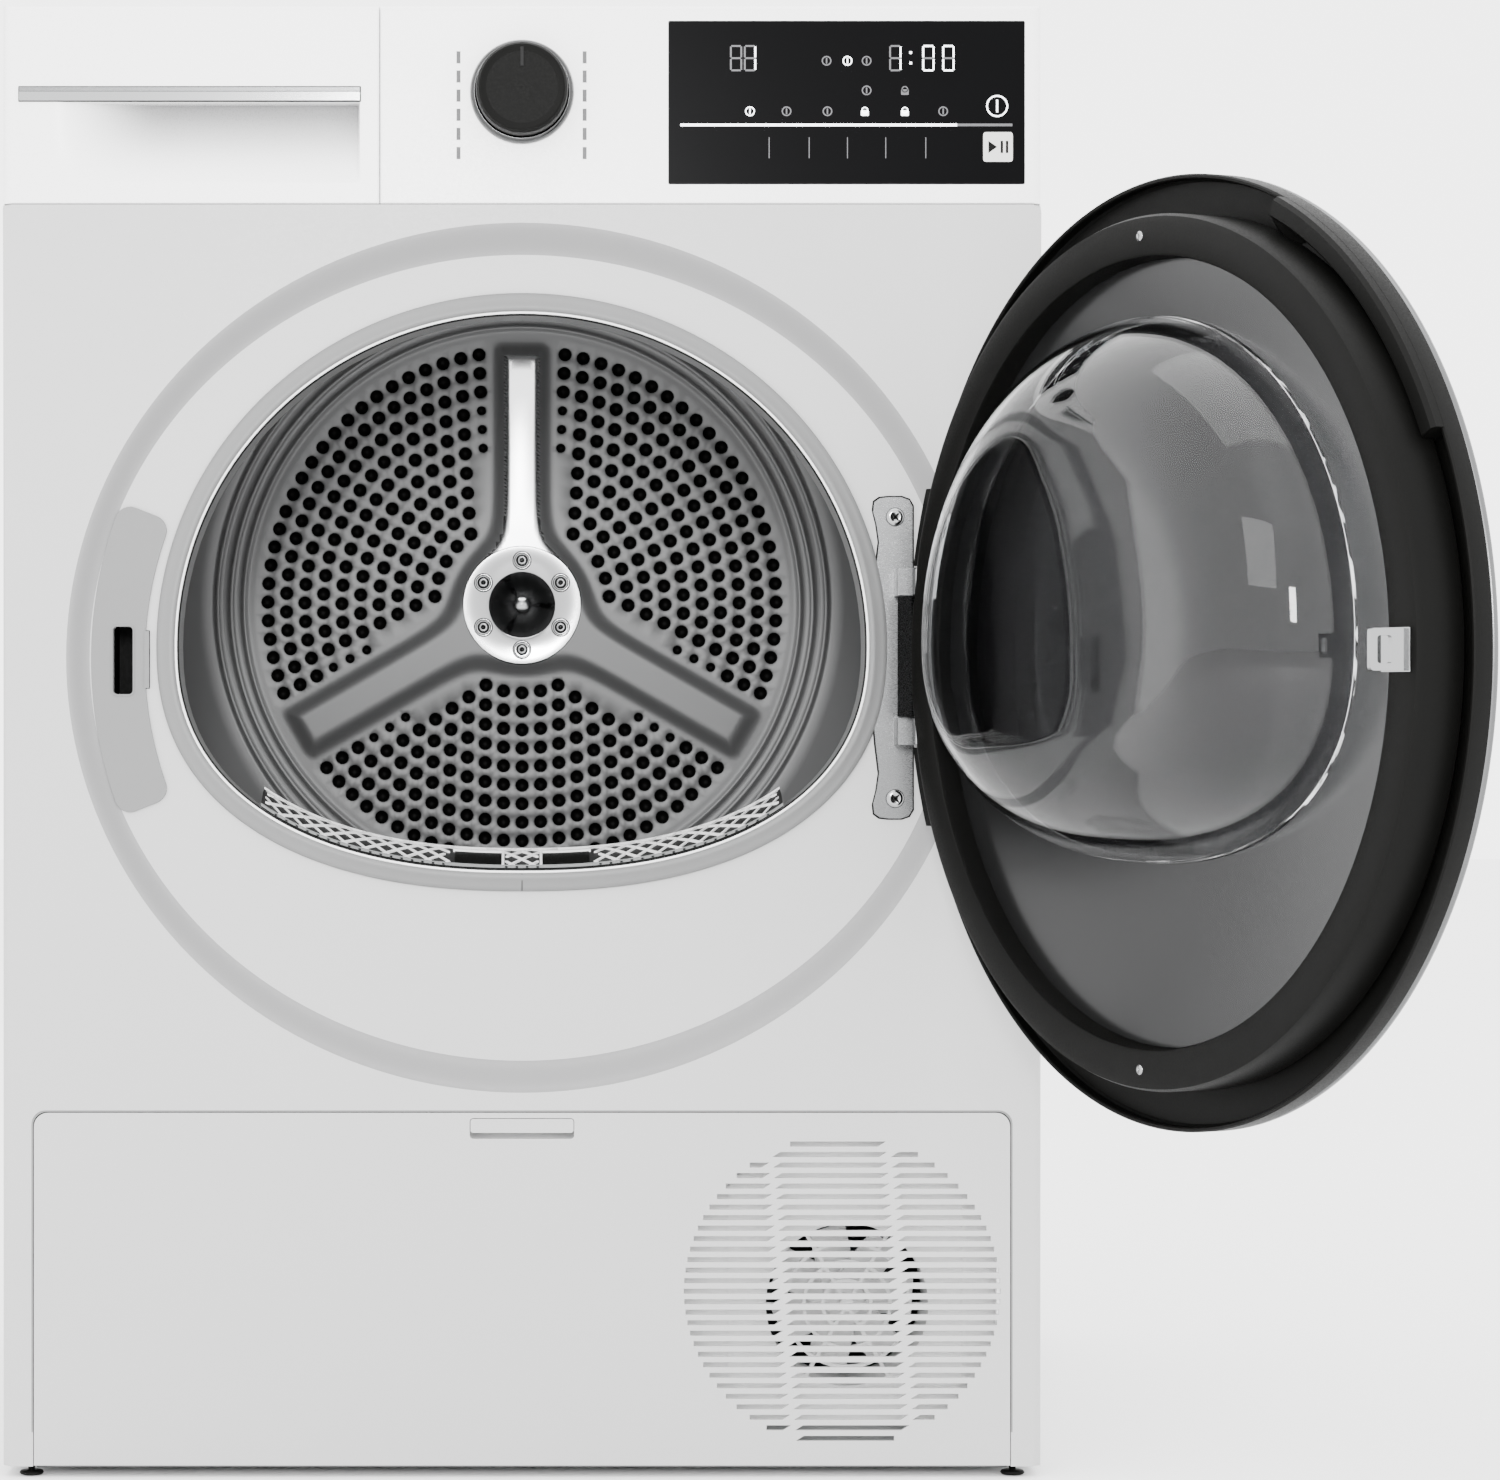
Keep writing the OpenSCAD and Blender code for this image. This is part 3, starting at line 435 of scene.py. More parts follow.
def slab_faces(w, h):
    """Faces of two facing grids of w by h points, joined around their rim."""
    n, faces = w * h, []
    for k in range(h - 1):
        for a in range(k * w, k * w + w - 1):
            faces += [(a, a + 1, a + w + 1, a + w), (n + a, n + a + w, n + a + w + 1, n + a + 1)]
    rim = ([(i, i + 1) for i in range(w - 1)] + [(k * w + w - 1, (k + 1) * w + w - 1) for k in range(h - 1)]
           + [(n - 1 - i, n - 2 - i) for i in range(w - 1)] + [((k + 1) * w, k * w) for k in reversed(range(h - 1))])
    return faces + [(b, a, n + a, n + b) for a, b in rim]


def relief(name, xs, zs, depth, y_front, y_back, material):
    """A moulded cover: a front face set back by depth(x, z) on a grid, closed by a flat back."""
    front = [(x, y_front + depth(x, z), z) for z in zs for x in xs]
    back = [(x, y_back, z) for z in zs for x in xs]
    faces = slab_faces(len(xs), len(zs))
    piece = tidy_mesh(make_mesh(name, front + back, faces, material, True), 1e-8)
    piece.data.set_sharp_from_angle(angle=math.radians(50))
    return piece


def ellipse(rx, rz, count=192):
    return circle_points(0, DISH_Z, rx, count, rz / rx)


D_MID, D_POWER = 0.478, 2.33             # height where the halves of a D shape meet, fullness of its lower half


def d_shape(w, top, bottom, count):
    """An upper half ellipse over a fuller, flatter lower half, as (x, z) points."""
    out = []
    for t in (2 * math.pi * i / count for i in range(count)):
        c, s = math.cos(t), math.sin(t)
        if s >= 0:
            out.append((w * c, D_MID + (top - D_MID) * s))
        else:
            out.append((w * math.copysign(abs(c) ** (2 / D_POWER), c),
                        D_MID - (D_MID - bottom) * (-s) ** (2 / D_POWER)))
    return out


def d_outline(grow):
    """The mouth's outline grown by grow."""
    return d_shape(0.199 + grow, 0.6695 + grow, 0.348 - grow, 192)


EDGE_R = 5 * MM
KICK_W, KICK_TOP, KICK_R, BASE_Z = 281 * MM, 210 * MM, 8 * MM, panel_lo.z
GAP = 0.5 * MM
panel_top = panel_hi.z


def kick_outline(shrink, foot_z):
    """The kick plate's outline, anticlockwise from its lower left corner."""
    w, top, r = KICK_W - shrink, KICK_TOP - shrink, KICK_R
    right = [(w - r + r * math.cos(t), top - r + r * math.sin(t)) for t in (math.pi / 16 * i for i in range(9))]
    return [(-w, foot_z), (w, foot_z), *right, *[(-x, z) for x, z in reversed(right)]]


def bevel_vertical(piece, width, side_x):
    """Rounds only the upright edges that lie at +-side_x on the front."""
    mesh = piece.data
    weights = mesh.attributes.new("bevel_weight_edge", "FLOAT", "EDGE")
    for edge in mesh.edges:
        a, b = (mesh.vertices[i].co for i in edge.vertices)
        if all(abs(abs(v.x) - side_x) < 1e-5 and abs(v.y - FRONT) < 1e-5 for v in (a, b)) and abs(a.z - b.z) > 1e-4:
            weights.data[edge.index].value = 1
    bevel = piece.modifiers.new("rounded_edge", "BEVEL")
    bevel.limit_method = "WEIGHT"
    bevel.width = width
    bevel.segments = 6


dish_outer = ellipse(262 * MM, 250 * MM)
opening = kick_outline(0, BASE_Z)
outline = [(-HALF_W, BASE_Z), opening[0], *reversed(opening[2:]), opening[1], (HALF_W, BASE_Z),
           (HALF_W, panel_top), (-HALF_W, panel_top)]
flat_front = plate("front_flat", outline, FRONT, FRONT + 20 * MM, "white_paint", [dish_outer])
rings = []
for i in range(13):
    t = i / 12
    y = FRONT + DISH_DEPTH * ease(t)
    rings.append([(x, y, z) for x, z in ellipse((262 - 13 * t) * MM, (250 - 18 * t) * MM)])
# The dish's sloped band takes the darker dish paint: painted shade on the band.
dish = loft("dish", rings, "dish_band_painted_shade")
hook_slot = rounded_rect(-235.4 * MM, 450 * MM, -224 * MM, 489 * MM, 2.4 * MM)
button_slot = rounded_rect(-217.6 * MM, 453.2 * MM, -214.2 * MM, 486.8 * MM, 0.4 * MM)
dish_floor = plate("dish_floor", ellipse(249 * MM, 232 * MM), FRONT + DISH_DEPTH, FRONT + DISH_DEPTH + 1 * MM,
                   "white_paint", [d_outline(11 * MM), hook_slot, button_slot])
front_skin = joined("front_panel_skin", [flat_front, dish, dish_floor])
bevel_vertical(front_skin, EDGE_R, HALF_W)
placed(front_skin, "cabinet", ["front_panel"])

strip_lo, strip_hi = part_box("control_panel")
xs = fine_steps([strip_lo.x, strip_hi.x], [(strip_lo.x, 2 * MM), (strip_hi.x, EDGE_R)], 0.05)
zs = fine_steps([strip_lo.z, strip_hi.z], [(strip_lo.z, 1.5 * MM), (strip_hi.z, 4 * MM)], 0.03)
strip_skin = relief("control_panel_skin", xs, zs, lambda x, z: max(
    rounding(x - strip_lo.x, 1.2 * MM), rounding(strip_hi.x - x, EDGE_R), rounding(z - strip_lo.z, 1 * MM),
    rounding(strip_hi.z - z, 3 * MM)), strip_lo.y, strip_hi.y, "white_plastic")
placed(strip_skin, "cabinet", ["control_panel"])


# ---------- tank drawer with its grip hollow ----------
front_lo, front_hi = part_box("drawer_front")
GRIP_L, GRIP_R, GRIP_B, GRIP_T = -268 * MM, -93 * MM, 745 * MM, 791 * MM
GRIP_DEPTH = 18 * MM


def drawer_depth(x, z):
    edge = max(rounding(x - front_lo.x, EDGE_R), rounding(front_hi.x - x, 1.2 * MM),
               rounding(z - front_lo.z, 1 * MM), rounding(front_hi.z - z, 3 * MM))
    if not (GRIP_L < x < GRIP_R and GRIP_B < z < GRIP_T):
        return edge
    across = (x - GRIP_L) / (64 * MM)
    side = math.sin(min(1, max(0, across)) * math.pi / 2) ** 1.6
    side *= ease((GRIP_R - x) / (2.2 * MM))
    up = (z - GRIP_B) / (GRIP_T - GRIP_B)
    rise = math.sin(min(1, up * 1.02) * math.pi / 2) ** 1.25
    return edge + GRIP_DEPTH * side * rise * ease((GRIP_T - z) / (1 * MM))


xs = fine_steps([front_lo.x, GRIP_L, GRIP_R, front_hi.x],
                [(front_lo.x, EDGE_R), (front_hi.x, 2 * MM), (GRIP_R, 2.6 * MM)], 3 * MM)
zs = fine_steps([front_lo.z, GRIP_B, GRIP_T, front_hi.z],
                [(front_lo.z, 1.5 * MM), (front_hi.z, 4 * MM), (GRIP_T, 1.5 * MM)], 1.5 * MM)
drawer_skin = relief("drawer_front_skin", xs, zs, drawer_depth, front_lo.y, front_hi.y, "white_plastic")
# Painted shade in the grip hollow: the drawer skin darkens with depth and towards the hollow's top edge.
shade_by_depth("drawer_grip_painted_shade", FRONT + 0.5 * MM, GRIP_DEPTH, GRIP_T, GRIP_T - GRIP_B, (0.17, 0.17, 0.172))
drawer_skin.data.materials[0] = MAT["drawer_grip_painted_shade"]
placed(drawer_skin, "tank_drawer", ["drawer_front"])
bar_lo, bar_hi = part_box("drawer_handle_strip")
bar_split = bar_lo.z + 5.3 * MM
lower_bar = block("bar_lower", bar_lo, (bar_hi.x, bar_hi.y, bar_split), "bright_steel")
upper_bar = block("bar_upper", (bar_lo.x, bar_lo.y + 0.3 * MM, bar_split), bar_hi, "satin_metal")
handle = joined("drawer_handle_strip_skin", [lower_bar, upper_bar])
placed(handle, "tank_drawer", ["drawer_handle_strip"], 0.3 * MM)
bar_line = plate("drawer_handle_seam", rounded_rect(bar_lo.x - 0.5 * MM, bar_lo.z - 0.6 * MM, bar_hi.x + 0.5 * MM,
                                                    bar_hi.z + 0.5 * MM, 0.5 * MM),
                 front_lo.y - 0.05 * MM, front_lo.y + 0.5 * MM, "black_plastic")
placed(bar_line, "tank_drawer")

# ---------- corner studs and feet ----------
for side, name in ((-1, "left"), (1, "right")):
    stud = upright(f"{name}_corner_stud", side * (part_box("kick_plate")[1].x + 2.3 * MM), FRONT + 9 * MM,
                   mm_profile([(0.3, 0.8), (6.4, 0.8), (7, 1.5), (6.4, 2.6), (2, 3), (2, 8), (0.3, 8)]),
                   "black_plastic")
    placed(stud, "cabinet")
for corner in ("front_left", "front_right", "rear_left", "rear_right"):
    node = f"{corner}_foot"
    lo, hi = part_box(node)
    x, y = (lo.x + hi.x) / 2, (lo.y + hi.y) / 2
    r = (hi.x - lo.x) / 2 / MM
    foot = upright(f"{node}_skin", x, y, mm_profile([(0.3, 0), (r - 1.2, 0), (r - 0.4, 0.5), (r, 1.4), (r, 5.2),
                   (r - 0.8, 6), (5, 6), (5, 28), (0.3, 28)]), "grey_plastic", 48)
    placed(foot, node, [node])

for node, width in (("worktop", 2.5 * MM), ("left_side_panel", 1.2 * MM), ("right_side_panel", 1.2 * MM)):
    weld = NODES[node].modifiers.new("weld", "WELD")
    weld.merge_threshold = 1e-6
    add_bevel(NODES[node], width)


# ---------- programme knob ----------
KNOB_Z = 796 * MM
knob_face = FRONT - 22 * MM
knob = turned("programme_knob_skin", mm_profile([
    (0.2, 0.8), (20.5, 0.8), (22.6, 0.3), (23.6, 0), (24.6, 0.3), (25.9, 2.4), (26.4, 5), (26.2, 19.6), (0.2, 19.6)],
    knob_face), (0, KNOB_Z), "black_plastic", 128)
pointer = block("pointer", (-0.9 * MM, knob_face + 0.2 * MM, KNOB_Z + 12 * MM),
                (0.9 * MM, knob_face + 2 * MM, KNOB_Z + 25.2 * MM), "rubber")
knob = joined("programme_knob_skin", [knob, pointer])
knob.data.set_sharp_from_angle(angle=math.radians(10))
placed(knob, "knob", ["programme_knob"])
ring = turned("knob_ring_skin", mm_profile([
    (25, -2.2), (26.5, -6.6), (27.6, -6.9), (28.8, -5.8), (29.9, -2.2), (29.9, -0.3), (25, -0.3)], FRONT),
    (0, KNOB_Z), "knob_chrome", 128)
placed(ring, "knob", ["knob_ring"])


def mark(name, x0, z0, x1, z1, y, material, r=0.0):
    """A flat printed or lit mark, a tenth of a millimetre proud of the face at y."""
    loop = rounded_rect(x0, z0, x1, z1, r, 3) if r else [(x0, z0), (x1, z0), (x1, z1), (x0, z1)]
    return plate(name, loop, y - 0.1 * MM, y + 0.3 * MM, material)


ticks = []
TICK_STEP = 11 * MM
for i in range(6):
    z = KNOB_Z + 20 * MM - i * TICK_STEP
    for x in (-36.5 * MM, 36 * MM):
        ticks.append(mark("tick", x - 1.15 * MM, z - 3.5 * MM, x + 1.15 * MM, z + 3.5 * MM, FRONT, "print_grey"))


# ---------- loading mouth ----------
def mouth_ring(pairs, name, material):
    """Sweeps a profile of (growth, depth) in millimetres around the mouth's outline."""
    rings = [[(x, y, z) for x, z in d_outline(g)] for g, y in mm_profile(pairs, seal_y)]
    return loft(name, rings, material, closed=True)


seal_y = MOUTH_LO.y
deep = (MOUTH_HI.y - seal_y) / MM
flange = mouth_ring([(11.4, 2.4), (10.6, 1.3), (8.6, 0.9), (5.2, 0.6), (4.4, 0.1), (2.6, 0), (1.2, 0.7), (0.9, 2),
                     (0.9, deep), (11.4, deep)], "mouth_flange", "light_plastic")
lip = mouth_ring([(0.9, 1.6), (0.2, 1.1), (-0.4, 1.6), (-0.5, 2.6), (0.9, 3)], "mouth_lip", "white_plastic")
gasket = mouth_ring([(0.8, 3), (-0.5, 3), (-1.3, 4.4), (-1.3, deep), (0.8, deep)], "mouth_gasket", "rubber")
placed(joined("mouth_seal_skin", [flange, lip, gasket]), "cabinet", ["mouth_seal"])
seam = mark("seam", -0.2 * MM, 336.8 * MM, 0.2 * MM, 346.8 * MM, seal_y + 0.6 * MM, "black_plastic")

# ---------- lint filter with its diagonal lattice ----------
filter_lo, filter_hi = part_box("lint_filter")
FILTER_HALF = filter_hi.x
FILTER_RISE = 9 * MM
SLOT_IN, SLOT_OUT = 11 * MM, 39 * MM     # finger openings to each side of the middle
LATTICE_STEP = 12.1 * MM


def mouth_floor(x, grow):
    """Height of the mouth's lower edge at x."""
    w, bottom = 0.199 + grow, 0.348 - grow
    return D_MID - (D_MID - bottom) * (1 - min(1, abs(x) / w) ** D_POWER) ** (1 / D_POWER)


def filter_point(x, v, lift=0.0):
    """A point on the filter's top: v runs from the front edge (0) to the rear edge (1)."""
    y = filter_lo.y + 0.6 * MM + v * (filter_hi.y - filter_lo.y - 1.2 * MM)
    return (x, y, mouth_floor(x, -1.6 * MM) + FILTER_RISE * math.sin(v * math.pi / 2) + lift)


def filter_patch(name, x0, x1, v0, v1, lift, thick, material, nx=24, nv=6):
    """A curved panel on the filter's top between two widths and two depths."""
    top, low = [], []
    for j in range(nv + 1):
        for i in range(nx + 1):
            x, v = x0 + (x1 - x0) * i / nx, v0 + (v1 - v0) * j / nv
            top.append(filter_point(x, v, lift))
            low.append(filter_point(x, v, lift - thick))
    faces = slab_faces(nx + 1, nv + 1)
    return tidy_mesh(make_mesh(name, top + low, faces, material))


def lattice_bar(x_start, lean, width=0.75 * MM):
    """One diagonal bar across the filter's top, or nothing where it misses the top."""
    reach, steps, rings = lean * 31 * MM, 10, []
    for i in range(steps + 1):
        v = i / steps
        x = x_start + reach * v
        if abs(x) > FILTER_HALF - 2 * MM or (SLOT_IN - 1 * MM < abs(x) < SLOT_OUT + 3 * MM and v < 0.62):
            if len(rings) > 1:
                break
            rings = []
            continue
        rings.append([filter_point(x - width, v, 0.1 * MM), filter_point(x + width, v, 0.1 * MM),
                      filter_point(x + width, v, 1.1 * MM), filter_point(x - width, v, 1.1 * MM)])
    return loft("bar", rings, "pale_plastic", caps=True, smooth=False) if len(rings) > 1 else None


wide = FILTER_HALF - 1 * MM
parts = [filter_patch("mesh_bed", -wide, wide, 0, 1, 0, 1 * MM, "dark_mesh", 60),
         filter_patch("front_rim", -wide, wide, 0, 0.04, 1.2 * MM, 2 * MM, "grey_plastic", 60, 1),
         filter_patch("rear_rim", -wide, wide, 0.95, 1, 1.2 * MM, 2 * MM, "pale_plastic", 60, 1)]
for i in range(-16, 14):
    for lean in (-1, 1):
        bar = lattice_bar(lean * (i * LATTICE_STEP + 3 * MM), lean)
        if bar:
            parts.append(bar)
for side in (-1, 1):
    lo, hi = sorted((side * SLOT_IN, side * SLOT_OUT))
    end = side * SLOT_IN
    edge = 0.7 * MM
    parts += [filter_patch("finger_hollow", lo, hi, 0.05, 0.6, 0.5 * MM, 1 * MM, "black_plastic", 12),
              filter_patch("hollow_back", lo - 1 * MM, hi + 1 * MM, 0.6, 0.66, 1.5 * MM, 2 * MM, "pale_plastic", 12, 1),
              filter_patch("hollow_end", end - edge, end + edge, 0.05, 0.62, 1.5 * MM, 2 * MM, "pale_plastic", 2)]
parts.append(plate("filter_box", [(-FILTER_HALF, filter_lo.z), (FILTER_HALF, filter_lo.z)]
                   + [(x, mouth_floor(x, -1.6 * MM) - 0.8 * MM)
                      for x in (FILTER_HALF - 2 * FILTER_HALF * i / 60 for i in range(61))],
                   filter_lo.y, filter_hi.y, "grey_plastic"))
placed(joined("lint_filter_skin", parts), "lint_filter", ["lint_filter"])


# ---------- drum back: perforated sheet with three embossed arms ----------
ARM_HALF, ARM_END, EMBOSS, SLOPE = 22.8 * MM, 186 * MM, 5 * MM, 11.5 * MM
HUB_REACH = 51 * MM
SHEET_Y = BACK_Y + 3 * MM
HOLE_R, SMALL_R, PITCH, FIRST_RING = 4.2 * MM, 2.8 * MM, 12.95 * MM, 61.3 * MM


def arm_depth(x, z):
    """Signed depth inside the outline of the hub disc and the three arms, blended by wide fillets."""
    r = math.hypot(x, z)
    depths = [HUB_REACH - r]
    for a in (90, 210, 330):
        ux, uz = math.cos(math.radians(a)), math.sin(math.radians(a))
        along, across = x * ux + z * uz, abs(x * uz - z * ux)
        end = ARM_END - along
        inside_arm = ARM_HALF - across if along > 0 else -r
        corner = 9 * MM
        if end < corner and ARM_HALF - across < corner:
            inside_arm = corner - math.hypot(corner - end, corner - (ARM_HALF - across))
        else:
            inside_arm = min(inside_arm, end)
        depths.append(inside_arm)
    k = 9 * MM
    top = max(depths)
    return top + k * math.log(sum(math.exp((d - top) / k) for d in depths)) - k * 0.25 * (top < 30 * MM)


def back_height(x, z):
    """Front-to-back place of the drum's back at (x, z) from its axis."""
    r = math.hypot(x, z)
    raised = EMBOSS * ease(arm_depth(x, z) / SLOPE)
    ridge = sum(1.6 * MM * math.exp(-((r - c) / (1.5 * MM)) ** 2) for c in (194.5 * MM, 203.5 * MM, 213 * MM))
    cone = 0.0 if r < 219 * MM else (r - 219 * MM) * 0.62
    return SHEET_Y - raised - ridge - cone


holes = []
for k in range(10):
    r = FIRST_RING + k * PITCH
    last = k + 2 if k < 4 else k + 3
    for sector in (-90, 30, 150):
        for j in range(-last, last + 1):
            a = math.radians(sector) + j * 13 * MM / r
            holes.append((r * math.cos(a), r * math.sin(a), SMALL_R if 4 <= k <= 6 and abs(j) == k + 3 else HOLE_R))

RIM, STEPS, CENTRE_R = 0.9 * MM, 14, 20 * MM   # soft edge of a hole, sides of a hole, hole behind the hub
points, edges = [], []
for hx, hz, hr in holes:
    add_loop(circle_points(hx, hz, hr + RIM, STEPS), points, edges)
add_loop(circle_points(0, 0, CENTRE_R, 48), points, edges)
for r in [188 * MM + 1.4 * MM * i for i in range(22)] + [226 * MM, 240 * MM, 262 * MM, 284 * MM]:
    add_loop(circle_points(0, 0, r, 180), points, edges)
step = 2.6 * MM                          # grid that follows the slopes of the arms
span = range(-72, 73)
for i in span:
    for j in span:
        x, z = i * step, j * step
        r = math.hypot(x, z)
        if 22 * MM < r < 187 * MM and -4 * MM < arm_depth(x, z) < SLOPE + 3 * MM:
            points.append(Vector((x, z)))
flat, _, tris, *_ = delaunay_2d_cdt(points, edges, [], 0, 1e-9)
near = {}                                # the holes that reach into each square of a coarse grid
for hole in holes:
    for cell in {((hole[0] + dx) // PITCH, (hole[1] + dz) // PITCH)
                 for dx in (-6 * MM, 6 * MM) for dz in (-6 * MM, 6 * MM)}:
        near.setdefault(cell, []).append(hole)


def in_hole(x, z):
    return any(math.hypot(x - hx, z - hz) < (hr + RIM) * 0.985
               for hx, hz, hr in near.get((x // PITCH, z // PITCH), ()))


kept = []
for tri in tris:
    cx, cz = (sum(flat[i][axis] for i in tri) / len(tri) for axis in (0, 1))
    if math.hypot(cx, cz) > CENTRE_R and not in_hole(cx, cz):
        kept.append(tuple(tri))
# Triangles on the flat top of the upper arm take the brighter steel copy: a painted highlight.
raised = [k for k, tri in enumerate(kept)
          if min(flat[i][1] for i in tri) > 30 * MM
          and arm_depth(*(sum(flat[i][axis] for i in tri) / 3 for axis in (0, 1))) > SLOPE * 0.8]
sheet = make_mesh("sheet", [(v[0], back_height(v[0], v[1]), DRUM_Z + v[1]) for v in flat], kept, "drum_steel", True)
sheet.data.materials.append(MAT["upper_arm_painted_highlight"])
for k in raised:
    sheet.data.polygons[k].material_index = 1
verts, faces = [], []
for hx, hz, hr in holes:
    base, y = len(verts), back_height(hx, hz)
    for r, dy in ((hr + RIM, 0.0), (hr + 0.35 * MM, 0.25 * MM), (hr, 0.9 * MM), (hr, 2 * MM)):
        verts += [(hx + px, y + dy, DRUM_Z + hz + pz) for px, pz in circle_points(0, 0, r, STEPS)]
    for a in range(base, base + 3 * STEPS, STEPS):
        faces += [(a + i, a + (i + 1) % STEPS, a + STEPS + (i + 1) % STEPS, a + STEPS + i) for i in range(STEPS)]
    faces.append(tuple(range(base + 3 * STEPS, base + 4 * STEPS)))
funnels = make_mesh("funnels", verts, faces, "drum_steel", True)
# The lower lip, wall and closed floor of each hole are black: painted shade standing for the darkness behind the open
# holes.
funnels.data.materials.append(MAT["black_plastic"])
for k, face in enumerate(funnels.data.polygons):
    face.material_index = 1 if k % (3 * STEPS + 1) >= STEPS else 0
back_skin = joined("drum_back_skin", [sheet, funnels])
tidy_mesh(back_skin, 1e-6)
placed(back_skin, "drum", ["drum_back"])

hub_face = BACK_Y - 2.5 * MM
hub = turned("hub_plate", mm_profile([
    (0.3, -14), (4.5, -13.6), (9, -12), (14, -8.6), (18.5, -4.6), (21.4, -2.8), (22.6, -2.2), (23.4, -2.5),
    (40.8, -2.5), (41.6, -1.8), (41.8, 1), (0.3, 1)], BACK_Y), (0, DRUM_Z), "bright_steel", 128)
hub.data.set_sharp_from_angle(angle=math.radians(28))
placed(hub, "drum", ["drum_hub"])
washer = mm_profile([(4.7, -0.1), (5.2, -0.7), (6.2, -0.7), (6.7, -0.1), (6.7, 0.3), (4.7, 0.3)], hub_face)
head = mm_profile([(0.2, -1.6), (3.2, -1.6), (3.9, -1.1), (4.3, -0.2), (4.3, 0.4), (0.2, 0.4)], hub_face)
bolts = []
for i in range(6):
    a = math.radians(30 + 60 * i)
    centre = (31.2 * MM * math.cos(a), DRUM_Z + 31.2 * MM * math.sin(a))
    bolts += [turned("washer", washer, centre, "bright_steel", 32), turned("head", head, centre, "satin_metal", 32)]
placed(joined("hub_bolts_skin", bolts), "drum", ["hub_bolts"])


# ---------- lock and hinge on the cabinet ----------
COVER_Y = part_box("latch_cover")[0].y
flat_loop, MID_R = rounded_rect(-87 * MM, 217 * MM, 87 * MM, 248 * MM, 9 * MM), 232.5 * MM
long_sides = [(u0, v0, u1, v1) for (u0, v0), (u1, v1) in zip(flat_loop, flat_loop[1:] + flat_loop[:1])]
arc = []
for u0, v0, u1, v1 in long_sides:
    count = max(1, round(abs(u1 - u0) / (4 * MM)))
    for i in range(count):
        u, v = u0 + (u1 - u0) * i / count, v0 + (v1 - v0) * i / count
        arc.append((-v * math.cos(u / MID_R), 470 * MM - v * math.sin(u / MID_R)))
cover = plate("latch_cover_skin", arc, COVER_Y, COVER_Y + 1.6 * MM, "light_plastic", [hook_slot])
placed(cover, "cabinet", ["latch_cover"], 0.7 * MM)
slot_rim = []
for dy, grow in ((0.0, 1.4), (0.5, 0.7), (0.6, 0.3), (0.3, 0.0), (6.0, -0.2)):
    slot_rim.append([(x, COVER_Y - 0.1 * MM + dy * MM * (1 if dy > 1 else -0.6), z) for x, z in rounded_rect(
        (-235.4 - grow) * MM, (450 - grow) * MM, (-224 + grow) * MM, (489 + grow) * MM, (2.4 + grow) * MM)])
placed(loft("latch_slot_rim", slot_rim, "light_plastic"), "cabinet")

hinge_lo, hinge_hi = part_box("hinge_plate")
HINGE_MID = (hinge_lo.z + hinge_hi.z) / 2


def plate_profile(grow=0.0):
    """Outline of the hinge plate, waisted beside each screw."""
    half = [(202, 0), (202, 34), (203.4, 50), (205.4, 66), (204, 76), (202, 84), (202.6, 89.6), (206, 92),
            (211, 92.6), (218, 92.6), (222.6, 91), (225, 87), (225, 78)]
    mirrored = [(x, -z) for x, z in reversed(half[1:])]
    return [((x + math.copysign(grow, x - 213.5)) * MM, HINGE_MID + (z + math.copysign(grow, z)) * MM)
            for x, z in mirrored + half]


PLATE_Y = FRONT + DISH_DEPTH
line = plate("hinge_plate_shadow", plate_profile(0.7), PLATE_Y - 0.15 * MM, PLATE_Y + 0.2 * MM, "black_plastic")
placed(line, "cabinet")
body = plate("plate_body", plate_profile(), PLATE_Y - 2 * MM, PLATE_Y, "satin_metal")
arms = []
ARM_ZS = (429 * MM, 514 * MM)
for z in ARM_ZS:
    low, high = z - 8 * MM, z + 8 * MM
    eye = mm_profile([(4.06, -8), (7, -8), (7.5, -7.4), (7.5, 7.4), (7, 8), (4.06, 8)], z)
    arms += [block("arm", (214 * MM, HINGE.y + 2 * MM, low), (220 * MM, PLATE_Y, high), "satin_metal"),
             block("arm_reach", (214 * MM, HINGE.y - 2 * MM, low), (HINGE.x, HINGE.y + 5 * MM, high), "satin_metal"),
             upright("eye", HINGE.x, HINGE.y, eye, "bright_steel", 48)]
hinge_skin = joined("hinge_plate_skin", [body, *arms])
placed(hinge_skin, "cabinet", ["hinge_plate"], 0.5 * MM)

screws = []
for z in (390 * MM, 552 * MM):
    head_y = PLATE_Y - 4.2 * MM
    screws.append(turned("head", mm_profile([(1.2, 0.7), (1.6, 0.1), (3.6, 0), (4.8, 0.5), (5.4, 1.6), (5.4, 2.1),
                                             (1.2, 2.1)], head_y), (214.6 * MM, z), "bright_steel", 40))
    for a in (45, 135):
        ux, uz = math.cos(math.radians(a)), math.sin(math.radians(a))
        long, short = 3 * MM, 0.55 * MM
        cross = [(214.6 * MM + s * long * ux - t * short * uz, z + s * long * uz + t * short * ux)
                 for s, t in ((-1, -1), (1, -1), (1, 1), (-1, 1))]
        screws.append(plate("cross", cross, head_y - 0.05 * MM, head_y + 1 * MM, "black_plastic"))
rear_head = mm_profile([(0.3, 0), (4.5, 0), (4.2, 1.4), (3, 2), (0.3, 2)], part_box("rear_panel")[1].y)
for x in (-HALF_W + 8 * MM, HALF_W - 8 * MM):
    for z in (60 * MM, 300 * MM, 560 * MM, 800 * MM):
        screws.append(turned("rear_head", rear_head, (x, z), "bright_steel", 24))
placed(joined("cabinet_screws_skin", screws), "cabinet", ["cabinet_screws"])


